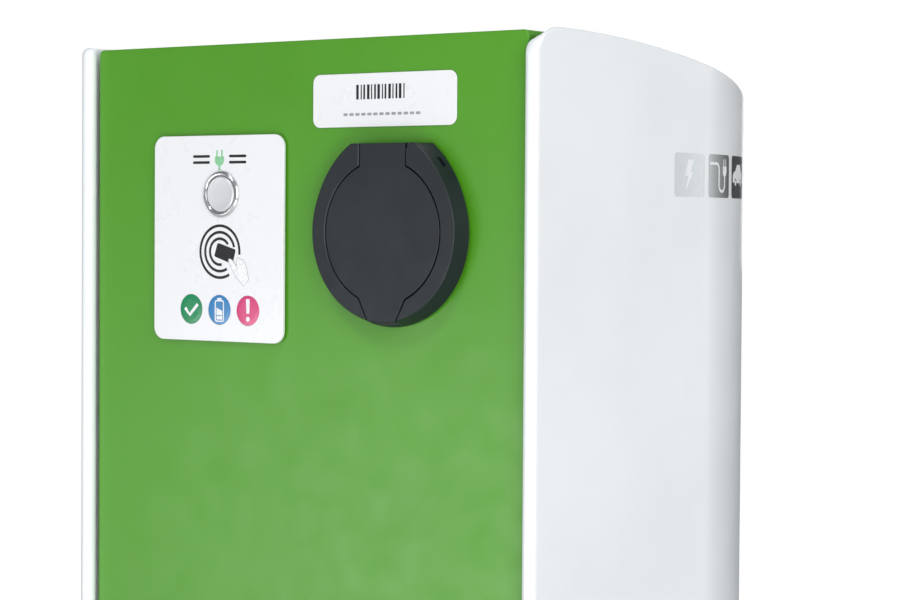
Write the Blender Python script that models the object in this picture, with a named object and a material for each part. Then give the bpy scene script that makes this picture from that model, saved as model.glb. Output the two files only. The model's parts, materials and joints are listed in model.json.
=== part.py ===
"""An electric-vehicle charging post, modelled in metres with +Z up and its front towards -Y.

The post is a wrap-around sheet shell with a hinged front door.  The door carries the reader
panel and the vehicle socket; the frame behind it carries the electrical gear.
"""
import math

import bmesh
import bpy
from mathutils import Matrix, Vector

MM = 0.001
GAP = 0.3 * MM

# Overall size
POST_HEIGHT = 1300 * MM
POST_DEPTH = 332 * MM
SHELL_HALF_WIDTH = 160 * MM
HOUSING_PROUD = 11.3 * MM
PANEL_Y = -POST_DEPTH / 2 + HOUSING_PROUD

# Body shell: flat sides, half-ellipse back, rolled front edges, arched top
SHELL_WALL = 3 * MM
SHELL_BOTTOM = 3 * MM
BEAD_RADIUS = 4.2 * MM
BEAD_Y = PANEL_Y - 2.5 * MM
SIDE_END_Y = PANEL_Y + 158.5 * MM
BACK_Y = POST_DEPTH / 2
ARCH_RADIUS = 931 * MM
ARCH_CROWN_Y = PANEL_Y + 19 * MM
LEFT_NOSE = (5 * MM, 5 * MM)
RIGHT_NOSE = (22 * MM, 18 * MM)
ROOF_RECESS = 1.5 * MM
ROOF_THICKNESS = 2 * MM

# Door: a shallow tray of folded sheet
DOOR_HALF_WIDTH = 150.4 * MM
DOOR_BOTTOM = 20 * MM
DOOR_TOP = POST_HEIGHT - 1.8 * MM
DOOR_DEPTH = 20 * MM
DOOR_SHEET = 2 * MM
DOOR_SWING_GAP = 2.9 * MM
HINGE_X = -142.5 * MM
HINGE_Y = PANEL_Y + 7.5 * MM
HINGE_HEIGHTS = {"upper": 1150 * MM, "lower": 170 * MM}
HINGE_PIN_RADIUS = 2.5 * MM
LOOM_NOTCH = (815 * MM, 885 * MM)

# Frame behind the door
FRAME_Y = PANEL_Y + 26 * MM
FRAME_DEPTH = 28 * MM
FRAME_SHEET = 2.5 * MM
UPRIGHT_INNER_X = 126 * MM
UPRIGHT_TOP = 1290 * MM
RAIL_HEIGHT = 30 * MM
BASE_THICKNESS = 8 * MM
TRAY_BACK_Y = PANEL_Y + 170 * MM
TRAY_RANGE = (250 * MM, 1200 * MM)
TRAY_SHEET = 2 * MM
TRAY_HALF_WIDTH = UPRIGHT_INNER_X - GAP

# Electrical gear on the mounting tray
RAIL_HEIGHTS = {"upper": 985 * MM, "lower": 780 * MM}
RAIL_DEPTH = 7.5 * MM
DEVICE_BACK_Y = TRAY_BACK_Y - TRAY_SHEET - RAIL_DEPTH - 2 * GAP
DEVICE_HEIGHT = 90 * MM
DEVICE_DEPTH = 44 * MM
NOSE_HEIGHT = 45 * MM
DEVICE_NOSE = 18 * MM
LEVER_PIVOT_INSET = 7 * MM
LEVER_TILT = math.radians(35)

# Vehicle socket
SOCKET_X = 65.5 * MM
SOCKET_Z = POST_HEIGHT - 105.4 * MM
HOUSING_FRONT_RADIUS = 47 * MM
HOUSING_BACK_RADIUS = 50.1 * MM
HOUSING_FLAT_Z = 46.9 * MM
HOUSING_SHOULDER_X = 20.8 * MM
HOUSING_BACK_Y = PANEL_Y - 1.6 * MM
HOUSING_FRONT_Y = PANEL_Y - HOUSING_PROUD
LID_RADIUS = 37.8 * MM
LID_DRAFT = 1.4 * MM
LID_THICKNESS = 4.1 * MM
LID_GAP = 0.5 * MM
LID_POCKET_Y = PANEL_Y - 6 * MM
TAB_HALF_WIDTH = 14.9 * MM
TONGUE_TOP_HALF = 15.2 * MM
TONGUE_TIP_HALF = 8.8 * MM
TONGUE_TOP_Z = -34.5 * MM
LID_AXIS_Y = PANEL_Y - 7.8 * MM
LID_AXIS_Z = SOCKET_Z + 43.1 * MM
LID_PIN_RADIUS = 1.25 * MM
HOUSING_BORE = 33 * MM
PANEL_HOLE = 37 * MM
CUP_RADIUS = 32.7 * MM
CUP_FLANGE = 46 * MM
CAVITY_RADIUS = 29.5 * MM
CAVITY_FLAT = 24.5 * MM
ISLAND_RADIUS = 24 * MM
ISLAND_FLAT = 19.2 * MM
CUP_BACK_Y = PANEL_Y + 46 * MM
LOCK_PIN_Y = PANEL_Y + 22 * MM
LOCK_PIN_RADIUS = 2.5 * MM

# Reader panel, its push button and status lenses
READER_X = -56.35 * MM
READER_Z = SOCKET_Z - 4.05 * MM
READER_SIZE = (95.3 * MM, 114.3 * MM)
READER_CORNER = 7 * MM
READER_FRONT_Y = PANEL_Y - 3 * MM
READER_BACK_Y = PANEL_Y - 1.2 * MM
WINDOW_SIZE = (76 * MM, 102 * MM)
BUTTON_X = -53.4 * MM
BUTTON_Z = SOCKET_Z + 20.5 * MM
BEZEL_RADIUS = 12.85 * MM
BARREL_RADIUS = 10.9 * MM
CAP_RADIUS = 9.9 * MM
LENS_RADIUS = 8.2 * MM
LENS_Z = SOCKET_Z - 43.7 * MM
LENS_POSITIONS = {"ready": -75.6 * MM, "charging": -54.7 * MM, "fault": -33.8 * MM}

# Door lock
LOCK_X = 98 * MM
LOCK_Z = 700 * MM
LOCK_FLANGE = 12 * MM
LOCK_BARREL = 8 * MM
LOCK_CORE = 5 * MM

# Label
LABEL_X = 58.2 * MM
LABEL_Z = SOCKET_Z + 70.2 * MM
LABEL_SIZE = (96 * MM, 28.4 * MM)

FINE = 64
MEDIUM = 32
COARSE = 20


# ---------------------------------------------------------------- outlines and solids

def arc(cx, cy, radius, start, end, steps):
    """Points on a circle from start to end, in degrees, both ends included."""
    angles = [math.radians(start + (end - start) * i / steps) for i in range(steps + 1)]
    return [(cx + radius * math.cos(a), cy + radius * math.sin(a)) for a in angles]


def circle(cx, cy, radius, steps=MEDIUM):
    return arc(cx, cy, radius, 0, 360 - 360 / steps, steps - 1)


def rectangle(x_low, x_high, y_low, y_high):
    return [(x_low, y_low), (x_high, y_low), (x_high, y_high), (x_low, y_high)]


def rounded_rectangle(cx, cy, width, height, radius, steps=5):
    x, y = width / 2 - radius, height / 2 - radius
    corners = [(x, y, 0), (-x, y, 90), (-x, -y, 180), (x, -y, 270)]
    points = []
    for dx, dy, start in corners:
        points += arc(cx + dx, cy + dy, radius, start, start + 90, steps)
    return points


def flat_topped_circle(cx, cy, radius, flat, steps=40):
    """A circle cut off by a level chord at the height flat above its centre."""
    start = math.degrees(math.asin(flat / radius))
    return arc(cx, cy, radius, 180 - start, 360 + start, steps)


def lift(point, axis, height):
    """A 2D outline point placed on the plane across an axis, at a height along it."""
    a, b = point
    if axis == "X":
        return Vector((height, a, b))
    if axis == "Y":
        return Vector((a, height, b))
    return Vector((a, b, height))


def loft(outlines, axis):
    """A closed solid through (outline, height) pairs with equal numbers of points."""
    mesh = bmesh.new()
    loops = [[mesh.verts.new(lift(p, axis, height)) for p in outline] for outline, height in outlines]
    count = len(loops[0])
    for lower, upper in zip(loops, loops[1:]):
        for i in range(count):
            j = (i + 1) % count
            mesh.faces.new((lower[i], lower[j], upper[j], upper[i]))
    mesh.faces.new(loops[0][::-1])
    mesh.faces.new(loops[-1])
    bmesh.ops.recalc_face_normals(mesh, faces=mesh.faces)
    return mesh


def prism(outline, axis, low, high):
    return loft([(outline, low), (outline, high)], axis)


def block(x_low, x_high, y_low, y_high, z_low, z_high):
    return prism(rectangle(x_low, x_high, y_low, y_high), "Z", z_low, z_high)


def turned(profile, axis, centre, steps=MEDIUM):
    """A solid of revolution; profile is (radius, height along the axis) from end to end.

    A profile that starts and ends on the axis is closed by its points of radius 0, and any
    other profile is closed on itself as a ring.
    """
    mesh = bmesh.new()
    rings = []
    for radius, height in profile:
        if radius == 0:
            rings.append([mesh.verts.new(lift(centre, axis, height))])
        else:
            rings.append([mesh.verts.new(lift(p, axis, height)) for p in circle(*centre, radius, steps)])
    pairs = list(zip(rings, rings[1:]))
    if len(rings[0]) > 1:
        pairs.append((rings[-1], rings[0]))
    for first, second in pairs:
        for i in range(steps):
            j = (i + 1) % steps
            corners = [first[i % len(first)], first[j % len(first)]]
            corners += [second[j % len(second)], second[i % len(second)]]
            mesh.faces.new(list(dict.fromkeys(corners)))
    bmesh.ops.recalc_face_normals(mesh, faces=mesh.faces)
    return mesh


def rod(radius, axis, centre, low, high, steps=MEDIUM):
    return prism(circle(*centre, radius, steps), axis, low, high)


# ---------------------------------------------------------------- objects and materials

def clear_scene():
    for item in list(bpy.data.objects):
        bpy.data.objects.remove(item, do_unlink=True)


def look(name, colour, roughness, metallic=0.0, alpha=1.0):
    """A Principled material, made once and then shared by name."""
    made = bpy.data.materials.get(name)
    if made:
        return made
    made = bpy.data.materials.new(name)
    made.use_nodes = True
    shader = made.node_tree.nodes["Principled BSDF"]
    shader.inputs["Base Color"].default_value = (*colour, 1.0)
    shader.inputs["Roughness"].default_value = roughness
    shader.inputs["Metallic"].default_value = metallic
    shader.inputs["Alpha"].default_value = alpha
    return made


LOOKS = {
    "white_coat": ((0.82, 0.84, 0.86), 0.3, 0.0),
    "green_coat": ((0.10, 0.34, 0.035), 0.3, 0.0),
    "black_plastic": ((0.045, 0.055, 0.062), 0.55, 0.0),
    "socket_plastic": ((0.02, 0.022, 0.025), 0.45, 0.0),
    "white_plastic": ((0.84, 0.84, 0.86), 0.3, 0.0),
    "grey_plastic": ((0.55, 0.57, 0.58), 0.5, 0.0),
    "galvanised": ((0.5, 0.52, 0.54), 0.45, 1.0),
    "steel": ((0.6, 0.6, 0.6), 0.3, 1.0),
    "brushed_steel": ((0.7, 0.7, 0.7), 0.28, 1.0),
    "brass": ((0.75, 0.55, 0.22), 0.3, 1.0),
    "rubber": ((0.015, 0.015, 0.015), 0.8, 0.0),
    "board": ((0.02, 0.16, 0.07), 0.5, 0.0),
    "blue_plastic": ((0.03, 0.12, 0.45), 0.45, 0.0),
    "cable": ((0.02, 0.02, 0.022), 0.5, 0.0),
    "lens_green": ((0.02, 0.36, 0.16), 0.2, 0.0),
    "lens_blue": ((0.03, 0.18, 0.5), 0.2, 0.0),
    "lens_pink": ((0.6, 0.03, 0.16), 0.2, 0.0),
}


def add(name, mesh, finish, origin=(0, 0, 0)):
    """An object of its own from a bmesh in world coordinates, with its origin where it is given."""
    data = bpy.data.meshes.new(name)
    mesh.to_mesh(data)
    mesh.free()
    data.transform(Matrix.Translation(-Vector(origin)))
    data.materials.append(look(finish, *LOOKS[finish]))
    data.shade_smooth()
    data.set_sharp_from_angle(angle=math.radians(35))
    made = bpy.data.objects.new(name, data)
    made.location = origin
    bpy.context.scene.collection.objects.link(made)
    return made


def combine(target, operation, meshes):
    """Cut from, join to or intersect an object with solids given in world coordinates."""
    for mesh in meshes:
        data = bpy.data.meshes.new("tool")
        mesh.to_mesh(data)
        mesh.free()
        tool = bpy.data.objects.new("tool", data)
        bpy.context.scene.collection.objects.link(tool)
        bpy.context.view_layer.update()
        modifier = target.modifiers.new("solid", "BOOLEAN")
        modifier.operation = operation
        modifier.solver = "EXACT"
        modifier.object = tool
        graph = bpy.context.evaluated_depsgraph_get()
        result = bpy.data.meshes.new_from_object(target.evaluated_get(graph))
        target.modifiers.clear()
        target.data = result
        bpy.data.objects.remove(tool, do_unlink=True)
    target.data.name = target.name
    return target


def cut(target, *meshes):
    return combine(target, "DIFFERENCE", meshes)


def join(target, *meshes):
    return combine(target, "UNION", meshes)


# ---------------------------------------------------------------- post: shell, roof, frame

def arch_height(y):
    """Height of the arched top edge of the sides at a depth y."""
    return POST_HEIGHT - ARCH_RADIUS + math.sqrt(ARCH_RADIUS ** 2 - (y - ARCH_CROWN_Y) ** 2)


def back_curve(inset, steps=28):
    """The half-ellipse of the back, from the right side round to the left one."""
    width, depth = SHELL_HALF_WIDTH - inset, BACK_Y - SIDE_END_Y - inset
    angles = [math.pi * i / steps for i in range(steps + 1)]
    return [(width * math.cos(a), SIDE_END_Y + depth * math.sin(a)) for a in angles]


def make_body_shell():
    bead_x = SHELL_HALF_WIDTH - BEAD_RADIUS
    inner_x = SHELL_HALF_WIDTH - SHELL_WALL
    meet = math.degrees(math.acos((inner_x - bead_x) / BEAD_RADIUS))
    left_bead = arc(-bead_x, BEAD_Y, BEAD_RADIUS, 180, 360 + 180 - meet, 14)
    right_bead = [(-x, y) for x, y in reversed(left_bead)]
    outline = left_bead + back_curve(SHELL_WALL)[::-1] + right_bead + back_curve(0)
    shell = add("body_shell", prism(outline, "Z", SHELL_BOTTOM, POST_HEIGHT), "white_coat")
    margin = SHELL_HALF_WIDTH + 20 * MM
    nose, nose_end = nose_curve(*LEFT_NOSE)
    depths = [nose_end + (BACK_Y - nose_end) * i / 12 for i in range(13)]
    rim = nose[:-1] + [(y, arch_height(y)) for y in depths]
    left_waste = [(y, POST_HEIGHT + margin) for y in (BACK_Y + margin, -BACK_Y - margin)]
    left_waste += [(-BACK_Y - margin, rim[0][1])] + rim + [(BACK_Y + margin, rim[-1][1])]
    nose, nose_end = nose_curve(*RIGHT_NOSE)
    crest = nose_end + 3 * MM
    right_waste = [(y, POST_HEIGHT + margin) for y in (crest, -BACK_Y - margin)]
    right_waste += [(-BACK_Y - margin, nose[0][1])] + nose[:-1] + [(crest, nose[-1][1] + 0.4 * MM)]
    return cut(shell, prism(left_waste, "X", -margin, margin), prism(right_waste, "X", 0, margin))


def nose_curve(length, drop):
    """Side view of the rim's rounded front end, up to where the arch starts."""
    end = BEAD_Y - BEAD_RADIUS + length
    base = arch_height(end) - drop
    angles = [math.radians(9 * i) for i in range(11)]
    return [(end - length * math.cos(a), base + drop * math.sin(a)) for a in angles], end


def make_roof_cap():
    """The roof sheet lies just below the top edge of the shell and ends behind the door."""
    front = PANEL_Y + DOOR_DEPTH + DOOR_SWING_GAP
    inset = SHELL_WALL + GAP
    side = SHELL_HALF_WIDTH - inset
    plan = [(-side, front), (side, front)] + back_curve(inset)
    roof = add("roof_cap", prism(plan, "Z", POST_HEIGHT - 80 * MM, POST_HEIGHT), "white_coat")
    depths = [front - 5 * MM + (BACK_Y + 10 * MM - front) * i / 12 for i in range(13)]
    top = [(y, arch_height(y) - ROOF_RECESS) for y in depths]
    under = [(y, z - ROOF_THICKNESS) for y, z in reversed(top)]
    lip_y, lip_z = front + ROOF_THICKNESS, POST_HEIGHT - 7 * MM
    lip = [(lip_y, arch_height(lip_y) - ROOF_RECESS - ROOF_THICKNESS), (lip_y, lip_z), (top[0][0], lip_z)]
    under = [p for p in under if p[0] > lip_y] + lip
    margin = SHELL_HALF_WIDTH + 20 * MM
    return combine(roof, "INTERSECT", [prism(top + under, "X", -margin, margin)])


def make_base_plate():
    inset = SHELL_WALL + 1 * MM
    side = SHELL_HALF_WIDTH - inset
    plan = [(-side, FRAME_Y), (side, FRAME_Y)] + back_curve(inset)
    plate = add("base_plate", prism(plan, "Z", 0, BASE_THICKNESS), "galvanised")
    holes = [rod(7 * MM, "Z", place, -1 * MM, BASE_THICKNESS + 1 * MM, COARSE) for place in anchor_places()]
    slot = rounded_rectangle(0, cable_way_y(), 100 * MM, 70 * MM, 12 * MM)
    return cut(plate, prism(slot, "Z", -1 * MM, BASE_THICKNESS + 1 * MM), *holes)


def anchor_places():
    return [(x, PANEL_Y + y) for x, y in ((-105 * MM, 85 * MM), (105 * MM, 85 * MM),
                                          (-90 * MM, 215 * MM), (90 * MM, 215 * MM))]


def cable_way_y():
    """Depth of the supply cable's way up through the base plate and the gland."""
    return PANEL_Y + 128 * MM


def make_anchor_bolts():
    """Washer, hex nut and stud end of each ground anchor, in one piece."""
    for number, place in enumerate(anchor_places(), start=1):
        washer_z = BASE_THICKNESS + GAP
        profile = [(0, 0.5 * MM), (6 * MM, 0.5 * MM), (6 * MM, washer_z), (12 * MM, washer_z),
                   (12 * MM, washer_z + 2.5 * MM), (6 * MM, washer_z + 2.5 * MM),
                   (6 * MM, washer_z + 20 * MM), (5 * MM, washer_z + 21 * MM), (0, washer_z + 21 * MM)]
        bolt = add(f"anchor_bolt_{number}", turned(profile, "Z", place, COARSE), "steel")
        join(bolt, rod(10.4 * MM, "Z", place, washer_z + 2 * MM, washer_z + 12 * MM, 6))


def make_upright(name, side):
    """A channel open to the back, welded to the base plate beside the shell's wall."""
    inner, outer = UPRIGHT_INNER_X, SHELL_HALF_WIDTH - SHELL_WALL - GAP
    back, sheet = FRAME_Y + FRAME_DEPTH, FRAME_SHEET
    outline = [(inner, back), (inner, FRAME_Y), (outer, FRAME_Y), (outer, back), (outer - sheet, back),
               (outer - sheet, FRAME_Y + sheet), (inner + sheet, FRAME_Y + sheet), (inner + sheet, back)]
    outline = [(side * x, y) for x, y in outline]
    return add(name, prism(outline, "Z", BASE_THICKNESS + GAP, UPRIGHT_TOP), "galvanised")


def make_rail(name, bottom):
    """A level channel between the uprights, open to the back."""
    back, sheet = FRAME_Y + FRAME_DEPTH, FRAME_SHEET
    top = bottom + RAIL_HEIGHT
    outline = [(back, bottom), (FRAME_Y, bottom), (FRAME_Y, top), (back, top), (back, top - sheet),
               (FRAME_Y + sheet, top - sheet), (FRAME_Y + sheet, bottom + sheet), (back, bottom + sheet)]
    half = UPRIGHT_INNER_X - GAP
    return add(name, prism(outline, "X", -half, half), "galvanised")


def make_door_seal():
    """A rubber frame on the front of the uprights, just behind the door's folded edges."""
    front, back = FRAME_Y - 3.4 * MM, FRAME_Y - GAP
    low, high = BASE_THICKNESS + 6 * MM, UPRIGHT_TOP + 1 * MM
    outer, width = 152 * MM, 8 * MM
    seal = add("door_seal", block(-outer, outer, front, back, low, high), "rubber")
    inner = outer - width
    through = (front - 1 * MM, back + 1 * MM)
    notches = [block(HINGE_X - 5.5 * MM, -inner + 1 * MM, *through, z - 3.5 * MM, z + 3.5 * MM)
               for z in HINGE_HEIGHTS.values()]
    return cut(seal, block(-inner, inner, *through, low + width, high - width), *notches)


def make_mounting_tray():
    low, high = TRAY_RANGE
    half, front = TRAY_HALF_WIDTH, FRAME_Y + 4 * MM
    outline = [(-half, front), (-half, TRAY_BACK_Y), (half, TRAY_BACK_Y), (half, front)]
    inner, inner_back = half - TRAY_SHEET, TRAY_BACK_Y - TRAY_SHEET
    outline += [(inner, front), (inner, inner_back), (-inner, inner_back), (-inner, front)]
    return add("mounting_tray", prism(outline, "Z", low, high), "galvanised")


def make_din_rails():
    """Two top-hat rails, 35 mm high, on the back of the tray."""
    back = TRAY_BACK_Y - TRAY_SHEET - GAP
    front, sheet = back - RAIL_DEPTH, 1.2 * MM
    edge, web = 17.5 * MM, 13.5 * MM
    upper = [(front, edge), (front + sheet, edge), (front + sheet, web), (back, web)]
    lower = [(y, -z) for y, z in reversed(upper)]
    inner = [(back - sheet, -web + sheet), (front, -web + sheet), (front, -edge)]
    outline = upper + lower[:-1] + inner[::-1] + [(y, -z) for y, z in inner[:2]]
    for name, height in RAIL_HEIGHTS.items():
        placed = [(y, z + height) for y, z in outline]
        add(f"din_rail_{name}", prism(placed, "X", -115 * MM, 115 * MM), "galvanised")


# ---------------------------------------------------------------- electrical gear

def device_outline(height):
    """Side outline of a rail-mounted device: a deep body with a narrower raised nose."""
    back, shoulder = DEVICE_BACK_Y, DEVICE_BACK_Y - DEVICE_DEPTH
    front = shoulder - DEVICE_NOSE
    tall, short = DEVICE_HEIGHT / 2, NOSE_HEIGHT / 2
    points = [(back, tall), (shoulder, tall), (shoulder, short), (front, short)]
    points += [(y, -z) for y, z in reversed(points)]
    return [(y, z + height) for y, z in points]


def make_device(name, x, width, height, finish):
    return add(name, prism(device_outline(height), "X", x - width / 2, x + width / 2), finish)


def lever_axis(height):
    return DEVICE_BACK_Y - DEVICE_DEPTH - DEVICE_NOSE + LEVER_PIVOT_INSET, height


def lever_pocket(x, width, height):
    y, z = lever_axis(height)
    outline = [(y - 20 * MM, z - 13 * MM), (y - 20 * MM, z + 13 * MM), (y - 1 * MM, z + 9 * MM)]
    outline += arc(y, z, 6 * MM, 60, -60, 6) + [(y - 1 * MM, z - 9 * MM)]
    return prism(outline, "X", x - width / 2 - GAP, x + width / 2 + GAP)


def make_lever(name, x, width, height):
    """A toggle lever, tilted up in its on position, that turns about a level axis."""
    y, z = lever_axis(height)
    hub = arc(0, 0, 5 * MM, -55, 55, 6)
    tip = [(-13 * MM, 3.2 * MM), (-16 * MM, 2.2 * MM), (-16 * MM, -2.2 * MM), (-13 * MM, -3.2 * MM)]
    turn = Matrix.Rotation(-LEVER_TILT, 2)
    outline = [turn @ Vector(p) for p in hub + tip]
    placed = [(p.x + y, p.y + z) for p in outline]
    return add(name, prism(placed, "X", x - width / 2, x + width / 2), "blue_plastic", (x, y, z))


def make_switchgear():
    upper, lower = RAIL_HEIGHTS["upper"], RAIL_HEIGHTS["lower"]
    breaker = make_device("circuit_breaker", -72 * MM, 72 * MM, upper, "grey_plastic")
    cut(breaker, lever_pocket(-72 * MM, 62 * MM, upper))
    make_lever("breaker_lever", -72 * MM, 62 * MM, upper)
    residual = make_device("residual_current_device", 4 * MM, 72 * MM, upper, "grey_plastic")
    front = DEVICE_BACK_Y - DEVICE_DEPTH - DEVICE_NOSE
    button = (26 * MM, upper)
    cut(residual, lever_pocket(-10 * MM, 20 * MM, upper),
        rod(5.3 * MM, "Y", button, front - 1 * MM, front + 6 * MM, COARSE))
    make_lever("residual_lever", -10 * MM, 20 * MM, upper)
    profile = [(0, front - 2 * MM), (4.4 * MM, front - 2 * MM), (5 * MM, front - 1.4 * MM),
               (5 * MM, front + 3.5 * MM), (0, front + 3.5 * MM)]
    origin = (button[0], front, button[1])
    add("residual_test_button", turned(profile, "Y", button, COARSE), "blue_plastic", origin)
    make_device("contactor", 78 * MM, 54 * MM, upper, "black_plastic")
    meter = make_device("energy_meter", -72 * MM, 72 * MM, lower, "white_plastic")
    window = rounded_rectangle(-72 * MM, lower + 5 * MM, 46 * MM, 16 * MM, 2 * MM, 3)
    cut(meter, prism(window, "Y", front - 1 * MM, front + 1.2 * MM))


def make_terminal_block():
    """A row of seven supply terminals, each with a funnel for its wire and a screw well."""
    height, pitch, count = RAIL_HEIGHTS["lower"], 14 * MM, 7
    centre = 40 * MM
    start = centre - pitch * count / 2
    back, front = DEVICE_BACK_Y, DEVICE_BACK_Y - 36 * MM
    outline = [(back, 24 * MM), (front + 10 * MM, 24 * MM), (front, 14 * MM), (front, -14 * MM),
               (front + 10 * MM, -24 * MM), (back, -24 * MM)]
    placed = [(y, z + height) for y, z in outline]
    row = add("terminal_block", prism(placed, "X", start, start + pitch * count), "grey_plastic")
    wells = []
    for number in range(count):
        x = start + pitch * (number + 0.5)
        wells.append(rod(3.5 * MM, "Y", (x, height), front - 1 * MM, front + 8 * MM, 12))
    return cut(row, *wells)


def make_controller():
    low, high = 480 * MM, 620 * MM
    back = TRAY_BACK_Y - TRAY_SHEET - GAP
    front = back - 42 * MM
    outline = rounded_rectangle(0, (low + high) / 2, 190 * MM, high - low, 6 * MM, 4)
    box = add("controller", prism(outline, "Y", front, back), "grey_plastic")
    label = rounded_rectangle(-20 * MM, (low + high) / 2, 110 * MM, 90 * MM, 4 * MM, 3)
    return cut(box, prism(label, "Y", front - 1 * MM, front + 0.8 * MM))


def make_earth_bar():
    """A brass bar on two feet, with a row of wire holes."""
    back = TRAY_BACK_Y - TRAY_SHEET - GAP
    low, high = 395 * MM, 407 * MM
    bar = add("earth_bar", block(-75 * MM, 75 * MM, back - 22 * MM, back - 14 * MM, low, high), "brass")
    feet = [block(x - 5 * MM, x + 5 * MM, back - 15 * MM, back, low, high) for x in (-65 * MM, 65 * MM)]
    join(bar, *feet)
    places = [(x * MM, (low + high) / 2) for x in range(-50, 51, 20)]
    return cut(bar, *[rod(3 * MM, "Y", p, back - 30 * MM, back - 10 * MM, 12) for p in places])


def make_gland():
    """A folded bracket below the tray, and the cable gland that stands in its hole."""
    back = TRAY_BACK_Y - TRAY_SHEET - GAP
    sheet, shelf, front = 3 * MM, 200 * MM, PANEL_Y + 95 * MM
    outline = [(front, shelf), (back, shelf), (back, shelf + 90 * MM), (back - sheet, shelf + 90 * MM),
               (back - sheet, shelf + sheet), (front, shelf + sheet)]
    bracket = add("gland_bracket", prism(outline, "X", -45 * MM, 45 * MM), "galvanised")
    centre = (0, cable_way_y())
    cut(bracket, rod(16.4 * MM, "Z", centre, shelf - 1 * MM, shelf + 5 * MM))
    thread, top = 16 * MM, shelf + sheet + GAP
    profile = [(11 * MM, shelf - 14 * MM), (thread, shelf - 14 * MM), (thread, top), (20 * MM, top),
               (20 * MM, top + 7 * MM), (18 * MM, top + 8 * MM), (18 * MM, top + 22 * MM),
               (14 * MM, top + 28 * MM), (11 * MM, top + 28 * MM)]
    add("cable_gland", turned(profile, "Z", centre), "black_plastic")


# ---------------------------------------------------------------- door and hinges

def hinge_arm(z_low, z_high, radius, far_x, far_y):
    """A flat ear with a round nose about the hinge axis, reaching back or sideways."""
    nose = arc(HINGE_X, HINGE_Y, radius, 180, 360 if far_y else 270, 10)
    if far_y:
        outline = nose + [(HINGE_X + radius, far_y), (HINGE_X - radius, far_y)]
    else:
        outline = nose + [(far_x, HINGE_Y - radius), (far_x, HINGE_Y + radius)]
        outline += arc(HINGE_X, HINGE_Y, radius, 90, 162, 4)
    return prism(outline, "Z", z_low, z_high)


def make_hinges():
    """Lift-off hinges: a bracket and pin on the frame, a leaf with two ears on the door."""
    axis, arm, ear = (HINGE_X, HINGE_Y), 3 * MM, 5 * MM
    pin, head, hole = HINGE_PIN_RADIUS, 4 * MM, HINGE_PIN_RADIUS + GAP
    for name, z in HINGE_HEIGHTS.items():
        arm_mesh = hinge_arm(z - arm, z + arm, 5 * MM, 0, FRAME_Y - GAP)
        bracket = add(f"hinge_bracket_{name}", arm_mesh, "steel")
        cut(bracket, rod(hole, "Z", axis, z - 10 * MM, z + 10 * MM, COARSE))
        foot, top = z - arm - GAP - ear, z + arm + GAP + ear
        profile = [(0, foot), (pin, foot), (pin, top + GAP), (head, top + GAP), (head, top + 2 * MM),
                   (0, top + 2 * MM)]
        add(f"hinge_pin_{name}", turned(profile, "Z", axis, COARSE), "steel")
        face, sheet = PANEL_Y + DOOR_SHEET + GAP, 3 * MM
        plate = block(HINGE_X + 6.5 * MM, HINGE_X + 38 * MM, face, face + sheet, z - 20 * MM, z + 20 * MM)
        leaf = add(f"hinge_leaf_{name}", plate, "steel", (HINGE_X, HINGE_Y, z))
        nose = HINGE_Y - face
        upper = hinge_arm(z + arm + GAP, top, nose, HINGE_X + 9 * MM, 0)
        lower = hinge_arm(foot, z - arm - GAP, nose, HINGE_X + 9 * MM, 0)
        join(leaf, upper, lower)
        cut(leaf, rod(hole, "Z", axis, z - 20 * MM, z + 20 * MM, COARSE))


def make_front_panel():
    """The door: a tray of folded sheet with openings for the socket, reader and lock."""
    middle, height = (DOOR_BOTTOM + DOOR_TOP) / 2, DOOR_TOP - DOOR_BOTTOM
    outline = rounded_rectangle(0, middle, 2 * DOOR_HALF_WIDTH, height, 3 * MM, 3)
    back = PANEL_Y + DOOR_DEPTH
    origin = (HINGE_X, HINGE_Y, middle)
    fold = 1.6 * MM
    front = rounded_rectangle(0, middle, 2 * (DOOR_HALF_WIDTH - fold), height - 2 * fold, 2 * MM, 3)
    layers = [(front, PANEL_Y), (outline, PANEL_Y + fold), (outline, back)]
    panel = add("front_panel", loft(layers, "Y"), "green_coat", origin)
    inner_half = DOOR_HALF_WIDTH - DOOR_SHEET
    pocket = rectangle(-inner_half, inner_half, DOOR_BOTTOM + DOOR_SHEET, DOOR_TOP - DOOR_SHEET)
    tools = [prism(pocket, "Y", PANEL_Y + DOOR_SHEET, back + 5 * MM)]
    through = (PANEL_Y - 5 * MM, PANEL_Y + 5 * MM)
    tools.append(rod(PANEL_HOLE, "Y", (SOCKET_X, SOCKET_Z), *through, FINE))
    tools.append(prism(rounded_rectangle(READER_X, READER_Z, *WINDOW_SIZE, 3 * MM, 3), "Y", *through))
    tools.append(rod(LOCK_BARREL + GAP, "Y", (LOCK_X, LOCK_Z), *through))
    notches = [(z - 8 * MM, z + 8 * MM) for z in HINGE_HEIGHTS.values()] + [LOOM_NOTCH]
    edge, notch_front = -DOOR_HALF_WIDTH, PANEL_Y + DOOR_SHEET + 0.2 * MM
    for low, high in notches:
        tools.append(block(edge - 5 * MM, edge + 5 * MM, notch_front, back + 5 * MM, low, high))
    return cut(panel, *tools)


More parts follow.
